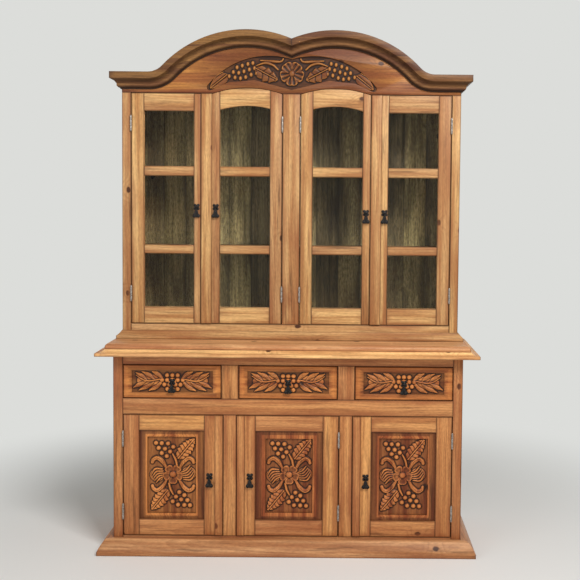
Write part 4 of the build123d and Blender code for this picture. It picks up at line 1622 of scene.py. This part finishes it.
@dataclass
class Drawer(SubAssembly):
    """Drawer: a box, a moulded front, and grapes between two leaves carved in its field.

    Attributes:
        frame_side: moulded border of the front, left and right.
        frame_end: the same, top and bottom.
        field_depth: floor of the field behind the border.
        ground: how far the carved ground lies in front of the field's floor.
        depth: height of the relief above its ground.
        grape: radius of a grape.
        arris: rounding of the front's edges.
        box_arris: rounding of the box's edges.
    """

    frame_side: float = 34.0
    frame_end: float = 23.0
    field_depth: float = 8.0
    ground: float = 0.4
    depth: float = 7.2
    grape: float = 8.6
    arris: float = 1.0
    box_arris: float = 0.8

    def build(self) -> None:
        """Makes the box, the front and the carving."""
        self.joinery(self.body + "_box", ROUGH_PINE, Slot.ROUGH_PINE, self.box_arris)
        front = self.joinery(self.body + "_front", CARVED_PINE, Slot.CARVED_PINE, self.arris)
        # The border's face gets a painted highlight, and its inner slope darkens down to the field
        # with stain and painted shade.
        stain_and_shade_by_depth(front, [(0, -0.35), (0.2, 0), (4.0, 0.45), (8.0, 0.95), (9.0, 0)])
        self.carving()

    def carved_map(self, width: float, height: float) -> Relief:
        """Bunch of grapes with a long lobed leaf to each side.

        Args:
            width: the field from side to side.
            height: the field from bottom to top.

        Returns:
            The map.
        """
        relief = Relief(width, height, stain=0.72)
        depth = self.depth
        rows = [
            (24.5, (-21.0, 0.0, 21.0)),
            (5.5, (-42.0, -21.0, 21.0, 42.0)),
            (-13.5, (-32.0, -12.0, 12.0, 32.0)),
            (-31.0, (-20.0, 0.0, 20.0)),
        ]
        for z, places in rows:
            for x in places:
                relief.grape((x, z), self.grape, depth * 0.95)
        lobes = [
            [(44, 14), (56, 27), (82, 40)],
            [(72, 8), (92, 24), (122, 39)],
            [(102, 6), (118, 18), (146, 35)],
            [(48, -6), (64, -22), (94, -38)],
            [(76, -4), (98, -19), (134, -37)],
            [(106, 0), (126, -10), (156, -26)],
        ]
        vein = [(48, 9), (90, 2), (118, 7), (145, 24)]
        for side in (-1, 1):
            relief.grape((side * 92, 3), 50, depth * 0.5, long=0.5)
            for lobe in lobes:
                line = signed(lobe, side)
                relief.stroke(line, 17.0, depth * 0.72, (0.75, 0.15))
                relief.stroke(line, 4.5, depth * 0.95, (0.9, 0.2))
            relief.stroke(signed(vein, side), 7.5, depth, (0.8, 0.35))
        return relief

    def carving(self) -> None:
        """Sets the carved map into the front's field."""
        box = boxes_of(self.body + "_front")[0]
        low, high = box
        width = (high[0] - low[0]) / MM - 2 * self.frame_side
        height = (high[2] - low[2]) / MM - 2 * self.frame_end
        front = low[1] + (self.field_depth - self.ground) * MM
        middle = (low + high) / 2
        relief = self.carved_map(width, height)
        place = (middle[0], front, middle[2])
        piece = relief.slab(self.body + "_carving", place, self.ground + SUNK)
        match_grain(piece, self.body + "_front_wood", box)
        self.dress(piece, CARVED_PINE, Slot.CARVED_PINE)


@dataclass
class GlazedDoor(SubAssembly):
    """Hutch door: frame with glazing bars, and its glass.

    Attributes:
        arris: rounding of the frame's edges.
    """

    arris: float = 1.4

    def build(self) -> None:
        """Makes the frame and dresses the glass."""
        self.joinery(self.body + "_frame", HONEY_PINE, Slot.PINE, self.arris)
        glass = frame["nodes"][self.body + "_glass"]
        glass.data.materials.clear()
        glass.data.materials.append(self.palette.material(GlassFinish()))
        glass.visible_shadow = False
        log.info("%s: window glass", glass.name)


@dataclass
class Crown(SubAssembly):
    """Double-arched crown moulding over a pediment board with a carved spray.

    Attributes:
        arris: rounding of edges.
        flower: height of the flower's middle above the floor.
        field_width: sunk ground from side to side.
        field_height: sunk ground from bottom to top.
        field_drop: its middle below the flower's middle.
        field_depth: ground behind the board's face.
        ground: how far the carved ground lies in front of the pocket's floor.
        depth: height of the relief above its ground.
    """

    arris: float = 0.8
    flower: float = 1931.0
    field_width: float = 692.0
    field_height: float = 136.0
    field_drop: float = 7.0
    field_depth: float = 7.0
    ground: float = 0.4
    depth: float = 8.0

    def build(self) -> None:
        """Makes the moulding, the board and the carving."""
        moulding = self.joinery("crown_moulding", SHADED_CROWN_PINE, Slot.DARK_PINE, self.arris)
        # Painted shade by depth, from the front: fascia, hollow darkened as in its own shadow,
        # band at 24.5 mm, which stays the palest where it catches light, and foot.
        profile = [
            (0, 0.1), (0.4, 0.5), (8.0, 0.95), (15.2, 0.6), (24.5, 0.0), (25.5, 0.3), (29.0, 0.85),
            (36.7, 0.95), (42.0, 0.85), (43.0, 0),
        ]
        stain_and_shade_by_depth(moulding, profile, sides=True)
        board = self.joinery("pediment_board", DARK_PINE, Slot.DARK_PINE, self.arris)
        # Stain and painted shade darken the walls of the sunk ground down to its floor.
        stain_and_shade_by_depth(board, [(0, 0), (0.5, 0.7), (7.0, 0.95), (8.0, 0)])
        self.carving()

    def carved_map(self) -> Relief:
        """Flower between two leaves, two bunches of long grapes and two end leaves.

        Returns:
            The map.
        """
        relief = Relief(self.field_width, self.field_height, (0.0, -self.field_drop), stain=0.68)
        depth = self.depth
        bunch = [
            (159, 41), (179, 37), (202, 30), (223, 23), (152, 20), (173, 15), (195, 7), (216, 1),
            (238, 4), (144, 0), (166, -6), (188, -16), (209, -21), (231, -18), (255, -13),
        ]
        for x, z in bunch:
            relief.grape((x, z), 6.8, depth, long=1.32)
        tendril = [(36, 73), (36, 58), (48, 48), (84, 49), (128, 52)]
        relief.stroke(tendril, 12.0, depth * 0.85, (0.35, 0.5))
        relief.stroke([(57, 16), (78, 34), (108, 42), (144, 31)], 12.0, depth, (0.6, 0.4))
        relief.leaf((146, 20), (58, -26), 35, depth * 0.9, teeth=3, sides=(1.05, 0.8))
        relief.leaf((262, -6), (332, -62), 25, depth * 0.85, teeth=0)
        relief.stroke([(280, 4), (306, -12), (326, -40)], 7.0, depth * 0.8, (0.5, 0.3))
        relief.mirror()
        relief.petal((0, 0), 90, 14, 47, 17, depth * 0.6, ribs=4)
        for angle in (-18, 198, 54, 126, 270):
            relief.petal((0, 0), angle, 8, 51, 31, depth, ribs=3)
        relief.grape((0, 0), 12.0, depth * 1.1, long=1.15)
        return relief

    def carving(self) -> None:
        """Sets the carved map into the board's sunk ground."""
        board = boxes_of("pediment_board")[0]
        front = board[0][1] + (self.field_depth - self.ground) * MM
        place = (0.0, front, self.flower * MM)
        piece = self.carved_map().slab("pediment_carving", place, self.ground + SUNK)
        match_grain(piece, "pediment_board_wood", board)
        self.dress(piece, DARK_PINE, Slot.DARK_PINE)


# ---------------------------------------------------------------- ironwork
QUARTER_TURN = math.radians(90)
# Facets round a knuckle, and round a ball or a rod before it is forged.
FACETS = 28


@dataclass
class ButtHinge:
    """Butt hinge with a ball at each end of its pin, its leaf half let into the frame.

    Attributes:
        height: length of its leaves.
        radius: radius of its knuckles.
        leaf_depth: how far its leaves reach back.
        leaf_thickness: thickness of a leaf.
        gap: width of the gap that both leaves share.
        outer: length of each outer knuckle.
        play: gap between two knuckles.
        pin_forward: from the face of the frame forward to the pin.
        ball_radius: radius of the ball at each end of the pin.
        ball_reach: from an outer knuckle's end to the middle of its ball.
        screw_radius: radius of a screw's head.
        screw_thickness: thickness of its head.
        screw_proud: from the leaf's face to the middle of its head.
        screws: a screw's place above the hinge's middle, as a share of its height, and back from
            its leaf's front, as a share of its depth.
        knuckle_arris: rounding of a knuckle's ends.
        leaf_arris: rounding of a leaf's edges.
        screw_arris: rounding of a screw's head.
    """

    height: float = 60.0
    radius: float = 4.0
    leaf_depth: float = 19.0
    leaf_thickness: float = 1.2
    gap: float = 3.0
    outer: float = 18.0
    play: float = 0.3
    pin_forward: float = 4.3
    ball_radius: float = 3.1
    ball_reach: float = 0.6
    screw_radius: float = 2.8
    screw_thickness: float = 0.4
    screw_proud: float = 0.1
    screws: tuple[tuple[float, float], ...] = ((-0.34, 0.42), (0.0, 0.68), (0.34, 0.42))
    knuckle_arris: float = 0.5
    leaf_arris: float = 0.3
    screw_arris: float = 0.15

    def aside(self, side: int) -> float:
        """Middle of a leaf's thickness, to the right of the pin, for a leaf on that side."""
        return side * (self.gap - self.leaf_thickness) / 2

    def knuckle(self, low: float, high: float, side: int) -> list[bpy.types.Object]:
        """Knuckle with eased ends, and the strip that ties it to its leaf.

        Args:
            low: its lower end from the hinge's middle.
            high: its upper end.
            side: 1 for a leaf on the right of the pin.

        Returns:
            Both parts.
        """
        middle, length = (low + high) / 2 * MM, (high - low) * MM
        barrel = blank(
            bpy.ops.mesh.primitive_cylinder_add,
            vertices=FACETS,
            radius=self.radius * MM,
            depth=length,
            location=(0, 0, middle),
        )
        round_edges(barrel, self.knuckle_arris)
        strip = blank(
            bpy.ops.mesh.primitive_cube_add,
            size=1,
            location=(self.aside(side) * MM, self.pin_forward / 2 * MM, middle),
            scale=(self.leaf_thickness * MM, self.pin_forward * MM, length),
        )
        return [barrel, strip]

    def leaf(self, side: int) -> list[bpy.types.Object]:
        """Leaf with eased edges and three countersunk screws.

        Args:
            side: 1 for a leaf on the right of the pin.

        Returns:
            The leaf and its screws.
        """
        middle = self.aside(side)
        plate = blank(
            bpy.ops.mesh.primitive_cube_add,
            size=1,
            location=(middle * MM, (self.pin_forward + self.leaf_depth / 2) * MM, 0),
            scale=(self.leaf_thickness * MM, self.leaf_depth * MM, self.height * MM),
        )
        settle(plate)
        round_edges(plate, self.leaf_arris)
        parts = [plate]
        face = middle - side * (self.leaf_thickness / 2 + self.screw_proud)
        for height, back in self.screws:
            depth = self.pin_forward + self.leaf_depth * back
            screw = blank(
                bpy.ops.mesh.primitive_cylinder_add,
                vertices=16,
                radius=self.screw_radius * MM,
                depth=self.screw_thickness * MM,
                location=(face * MM, depth * MM, self.height * height * MM),
                rotation=(0, QUARTER_TURN, 0),
            )
            settle(screw)
            round_edges(screw, self.screw_arris)
            parts.append(screw)
        return parts

    def ball(self, height: float) -> bpy.types.Object:
        """Small ball that closes an end of the pin.

        Args:
            height: its middle above the hinge's.

        Returns:
            The ball.
        """
        ball = blank(
            bpy.ops.mesh.primitive_uv_sphere_add,
            segments=20,
            ring_count=12,
            radius=self.ball_radius * MM,
            location=(0, 0, height * MM),
        )
        bpy.ops.object.shade_smooth()
        return ball

    def halves(self) -> tuple[bpy.types.Object, bpy.types.Object]:
        """Models the hinge for a door on the right of the pin.

        Returns:
            The frame's half and the door's half.
        """
        half = self.height / 2
        fixed = self.leaf(-1) + self.knuckle(-half, -half + self.outer, -1)
        fixed += self.knuckle(half - self.outer, half, -1)
        fixed += [self.ball(-half - self.ball_reach), self.ball(half + self.ball_reach)]
        low, high = -half + self.outer + self.play, half - self.outer - self.play
        moving = self.leaf(1) + self.knuckle(low, high, 1)
        halves = join("frame_half", fixed), join("door_half", moving)
        for piece in halves:
            settle(piece)
        return halves


@dataclass
class DropPull:
    """Forged drop pull: a four-lobed plate with two ears, and a flared drop on a pin.

    Attributes:
        lobe: radius of each lobe of the plate.
        offset: the lobes' distance from the middle, across and up.
        plate: thickness of the plate.
        pin_reach: from the plate's front to the pin.
        length: drop, from the pin to its lowest point.
        half_width: half of the drop's width at its lobes.
        grain: size of the facets that the forging leaves.
        softening: how many times the skin is smoothed.
    """

    lobe: float = 6.2
    offset: float = 6.7
    plate: float = 2.4
    pin_reach: float = 8.0
    length: float = 44.0
    half_width: float = 16.0
    grain: float = 0.55
    softening: int = 3

    @staticmethod
    def ball(
        place: tuple[float, float, float], size: tuple[float, float, float]
    ) -> bpy.types.Object:
        """Ball flattened to half sizes across, deep and high, as a blank to forge."""
        return blank(
            bpy.ops.mesh.primitive_uv_sphere_add,
            segments=FACETS,
            ring_count=16,
            radius=1,
            location=[distance * MM for distance in place],
            scale=[half * MM for half in size],
        )

    @staticmethod
    def rod(
        place: tuple[float, float, float], radius: float, length: float, axis: str
    ) -> bpy.types.Object:
        """Round rod along the x, y or z axis, as a blank to forge."""
        turns = {"x": (0, QUARTER_TURN, 0), "y": (QUARTER_TURN, 0, 0), "z": (0, 0, 0)}
        return blank(
            bpy.ops.mesh.primitive_cylinder_add,
            vertices=FACETS,
            radius=radius * MM,
            depth=length * MM,
            location=[distance * MM for distance in place],
            rotation=turns[axis],
        )

    def forge(self, name: str, blanks: list[bpy.types.Object]) -> bpy.types.Object:
        """Welds blanks into one skin and softens it.

        Args:
            name: name of the piece.
            blanks: overlapping closed parts.

        Returns:
            The forged piece, with its place in its mesh.
        """
        piece = join(name, blanks)
        settle(piece)
        bpy.ops.object.modifier_add(type="REMESH")
        remesh = piece.modifiers[-1]
        remesh.mode = "VOXEL"
        remesh.voxel_size = self.grain * MM
        bpy.ops.object.modifier_apply(modifier=remesh.name)
        bpy.ops.object.modifier_add(type="SMOOTH")
        piece.modifiers[-1].iterations = self.softening
        bpy.ops.object.modifier_apply(modifier=piece.modifiers[-1].name)
        bpy.ops.object.shade_smooth()
        return piece

    def plate_piece(self) -> bpy.types.Object:
        """Plate with four lobes, a domed boss, ears and the pin, about the pin's middle.

        Returns:
            The forged plate.
        """
        back = self.pin_reach + self.plate
        blanks = []
        # Each lobe has a stud in its middle, and the boss stands over a disc that joins the lobes.
        for across in (-1, 1):
            for up in (-1, 1):
                place = (across * self.offset, back - self.plate / 2, up * self.offset)
                blanks.append(self.rod(place, self.lobe, self.plate, "y"))
                stud = (place[0] * 1.05, self.pin_reach, place[2] * 1.05)
                blanks.append(self.ball(stud, (2.6, 1.3, 2.6)))
        blanks.append(self.rod((0, back - self.plate / 2, 0), self.offset * 1.25, self.plate, "y"))
        blanks.append(self.ball((0, self.pin_reach, 0), (7.5, 2.6, 7.5)))
        # An ear on each side holds an end of the pin, and the pin's head is outside it.
        for side in (-1, 1):
            ear = (side * 4.9, self.pin_reach / 2, 0)
            blanks.append(self.ball(ear, (1.4, self.pin_reach * 0.72, 3.4)))
            blanks.append(self.ball((side * 6.4, 0, 0), (1.3, 1.9, 1.9)))
        blanks.append(self.rod((0, 0, 0), 1.35, 13.0, "x"))
        return self.forge("pull_plate", blanks)

    def drop_piece(self) -> bpy.types.Object:
        """Drop with its eye, a ribbed flare and two rounded lobes, about the pin's middle.

        Returns:
            The forged drop.
        """
        low = -self.length
        lobe = self.half_width * 0.5
        eye, neck = self.rod((0, 0, 0), 3.3, 6.6, "x"), self.rod((0, 0, -7), 2.4, 12, "z")
        collar = self.ball((0, 0, -12.5), (4.6, 2.8, 3.0))
        waist = self.ball((0, 0, low * 0.55), (self.half_width * 0.52, 2.3, 14.5))
        flare = self.ball((0, 0, low * 0.74), (self.half_width * 0.86, 2.1, 8.5))
        rib = self.ball((0, -0.9, low * 0.6), (1.7, 2.4, 15.0))
        blanks = [eye, neck, collar, waist, flare, rib]
        for side in (-1, 1):
            middle = (side * (self.half_width - lobe), 0, low + lobe)
            blanks.append(self.ball(middle, (lobe, 2.3, lobe)))
            boss = (side * self.half_width * 0.52, -1.2, low + lobe)
            blanks.append(self.ball(boss, (3.2, 2.0, 3.2)))
        point = self.ball((0, 0, low + 5.5), (3.4, 2.0, 5.5))
        return self.forge("pull_drop", [*blanks, point])


@dataclass
class Ironwork:
    """All hinges and pulls, each modelled once and copied to where the cabinet has one.

    Attributes:
        palette: the finishes.
        hinge: the hinge.
        pull: the pull.
        least_leaf: height from which a solid of a door's ironwork is a hinge leaf.
    """

    palette: Palette
    hinge: ButtHinge = field(default_factory=ButtHinge)
    pull: DropPull = field(default_factory=DropPull)
    least_leaf: float = 40.0

    def build(self) -> None:
        """Copies the hinges and the pulls to every door and drawer."""
        halves = self.hinge.halves()
        blanks = self.pull.plate_piece(), self.pull.drop_piece()
        self.hang_doors(*halves)
        self.hang_pulls(*blanks)
        for master in (*halves, *blanks):
            bpy.data.objects.remove(master)

    def hang_doors(self, frame_half: bpy.types.Object, door_half: bpy.types.Object) -> None:
        """Sets a hinge wherever a door's ironwork has a leaf.

        Args:
            frame_half: the hinge's half that is let into a frame.
            door_half: the half that the door carries.
        """
        fixed = []
        for joint in frame["joints"]:
            if not joint["name"].endswith("_hinge"):
                continue
            door = joint["child"]
            low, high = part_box(door + "_frame")
            x, y, _ = joint["pos_m"]
            hand = Hand.RIGHT if (low.x + high.x) / 2 > x else Hand.LEFT
            leaves = []
            for box_low, box_high in boxes_of(door + "_ironwork"):
                if box_high[2] - box_low[2] > self.least_leaf * MM:
                    place = (x, y, float(box_low[2] + box_high[2]) / 2)
                    leaves.append(copy_to(door_half, "leaf", place, hand))
                    fixed.append(copy_to(frame_half, "leaf", place, hand))
            piece = join(door + "_hinge_leaves", leaves)
            assembly = SubAssembly(door, self.palette)
            assembly.dress(piece, ZincFinish(), Slot.HINGE_STEEL, door + "_ironwork")
        piece = join("hinges_on_frames", fixed)
        root = SubAssembly("root", self.palette)
        root.dress(piece, ZincFinish(), Slot.HINGE_STEEL, "hinge_frame_leaves")

    def hang_pulls(self, plate: bpy.types.Object, drop: bpy.types.Object) -> None:
        """Sets a plate and its drop on every door and drawer.

        Args:
            plate: the pull's plate, about the middle of its pin.
            drop: its drop, about the same point.
        """
        for joint in frame["joints"]:
            if not joint["name"].endswith("_pivot"):
                continue
            child = joint["child"]
            owner = child.removesuffix("_pull_drop")
            place = tuple(joint["pos_m"])
            node = owner + ("_pull_plate" if owner.endswith("drawer") else "_ironwork")
            piece = copy_to(plate, owner + "_forged_plate", place)
            SubAssembly(owner, self.palette).dress(piece, IronFinish(), Slot.IRON, node)
            piece = copy_to(drop, owner + "_forged_drop", place)
            SubAssembly(child, self.palette).dress(piece, IronFinish(), Slot.IRON, child)


# ---------------------------------------------------------------- studio
@dataclass(frozen=True)
class Lamp:
    """Square soft lamp aimed at the cabinet's middle, in metres.

    Attributes:
        name: name of the lamp.
        watts: its power.
        size: side of its square.
        place: where it hangs.
        aim: point that it faces.
    """

    name: str
    watts: float
    size: float
    place: tuple[float, float, float]
    aim: tuple[float, float, float] = (0.0, 0.0, 1.05)

    def hang(self) -> None:
        """Makes the lamp."""
        data = bpy.data.lights.new(self.name, "AREA")
        data.energy = self.watts
        data.size = self.size
        lamp = bpy.data.objects.new(self.name, data)
        lamp.location = self.place
        towards = Vector(self.aim) - Vector(self.place)
        lamp.rotation_euler = towards.to_track_quat("-Z", "Y").to_euler()
        bpy.context.scene.collection.objects.link(lamp)


@dataclass(frozen=True)
class Camera:
    """Camera a little to the right of the cabinet, at a standing person's eye height.

    Attributes:
        place: where its lens is, in metres.
        yaw: turn to the left, in radians.
        pitch: tilt down, in radians.
        roll: turn about its line of sight, in radians.
        sensor: width of its sensor, in millimetres.
        lens: its focal length, in millimetres.
        shift: shift of the lens, across and up, as a share of the picture's width.
    """

    place: tuple[float, float, float] = (0.2060, -3.8518, 1.4128)
    yaw: float = -0.0042
    pitch: float = 0.0531
    roll: float = 0.0098
    sensor: float = 36.0
    lens: float = 57.51
    shift: tuple[float, float] = (-0.0946, -0.0667)

    def turn(self) -> Matrix:
        """Turn from the camera's own axes to the cabinet's.

        Returns:
            The turn, as a matrix.
        """
        right = Vector((math.cos(self.yaw), math.sin(self.yaw), 0))
        ahead = Vector((-math.sin(self.yaw), math.cos(self.yaw), 0))
        down = Vector((0, 0, -1))
        forward = ahead * math.cos(self.pitch) + down * math.sin(self.pitch)
        up = ahead * math.sin(self.pitch) - down * math.cos(self.pitch)
        side = right * math.cos(self.roll) + up * math.sin(self.roll)
        top = up * math.cos(self.roll) - right * math.sin(self.roll)
        return Matrix((side, top, -forward)).transposed().to_4x4()

    def set_up(self) -> None:
        """Makes the camera and looks through it."""
        data = bpy.data.cameras.new("camera")
        data.sensor_width = self.sensor
        data.lens = self.lens
        data.shift_x, data.shift_y = self.shift
        camera = bpy.data.objects.new("camera", data)
        camera.matrix_world = Matrix.Translation(self.place) @ self.turn()
        bpy.context.scene.collection.objects.link(camera)
        bpy.context.scene.camera = camera


@dataclass(frozen=True)
class Studio:
    """Pale floor that runs into a pale background, soft lamps, and the camera.

    Attributes:
        background: colour of the background.
        floor: colour of the floor near the cabinet.
        floor_roughness: roughness of the floor.
        floor_radius: radius of the floor, in metres.
        ambient: strength of the light from all round.
        lamps: large lamp, front right, and a weaker one, front left.
        fade: where the floor starts to run into the background, and where it has, in metres.
    """

    background: str = "#DCDDDA"
    floor: str = "#EDECE9"
    floor_roughness: float = 0.75
    floor_radius: float = 30.0
    ambient: float = 0.36
    lamps: tuple[Lamp, Lamp] = (
        Lamp("key_lamp", 165.0, 1.6, (1.6, -3.1, 3.9)),
        Lamp("fill_lamp", 66.0, 3.0, (-3.4, -3.8, 1.9)),
    )
    fade: tuple[float, float] = (1.0, 2.4)

    def build(self) -> None:
        """Makes the floor, the world, the lamps and the camera."""
        self.lay_floor()
        self.fill_world()
        for lamp in self.lamps:
            lamp.hang()
        Camera().set_up()
        bpy.context.scene.view_settings.view_transform = "Standard"

    def lay_floor(self) -> None:
        """Round floor that takes the cabinet's shadow and fades into the background."""
        floor = blank(
            bpy.ops.mesh.primitive_circle_add,
            vertices=96,
            radius=self.floor_radius,
            fill_type="NGON",
        )
        floor.name = "studio_floor"
        material, tree = new_material("pale_floor")
        place = add(tree, "TexCoord").outputs["Object"]
        away = add(tree, "VectorMath", LENGTH, {0: place}).outputs["Value"]
        share = add(tree, "MapRange", SMOOTH, {"Value": away, **band(*self.fade)})
        paint = {"Base Color": linear(self.floor), "Roughness": self.floor_roughness}
        near = add(tree, "BsdfPrincipled", inputs=paint)
        far = add(tree, "Emission", inputs={"Color": linear(self.background)})
        mixed = add(tree, "MixShader", inputs={0: share, 1: near, 2: far})
        add(tree, "OutputMaterial", inputs={"Surface": mixed})
        floor.data.materials.append(material)

    def fill_world(self) -> None:
        """World that shows the background and lights more softly."""
        world = bpy.data.worlds.new("studio_air")
        world.use_nodes = True
        tree = world.node_tree
        tree.nodes.clear()
        rays = add(tree, "LightPath").outputs
        seen = add(tree, "Math", HIGHER, {0: rays["Is Camera Ray"], 1: rays["Is Glossy Ray"]})
        seen = add(tree, "Math", HIGHER, {0: seen, 1: rays["Is Transmission Ray"]})
        strength = add(tree, "MapRange", inputs={"Value": seen, **span(self.ambient, 1.0)})
        air = {"Color": linear(self.background), "Strength": strength}
        sky = add(tree, "Background", inputs=air)
        add(tree, "OutputWorld", inputs={"Surface": sky})
        bpy.context.scene.world = world


def main() -> None:
    """Builds the studio, then each sub-assembly in turn."""
    logging.basicConfig(level=logging.INFO, format="%(name)s: %(message)s")
    palette = Palette()
    Studio().build()
    Carcase("root", palette).build()
    Crown("root", palette).build()
    for body in ("far_left_door", "inner_left_door", "inner_right_door", "far_right_door"):
        GlazedDoor(body, palette).build()
    flowers = {"left": (4.0, 1.5), "middle": (0.8, 3.3), "right": (-2.6, 5.2)}
    for side, flower in flowers.items():
        CupboardDoor(side + "_cupboard_door", palette, flower=flower).build()
    for body in ("left_drawer", "middle_drawer", "right_drawer"):
        Drawer(body, palette).build()
    Ironwork(palette).build()


if __name__ == "__main__":
    main()
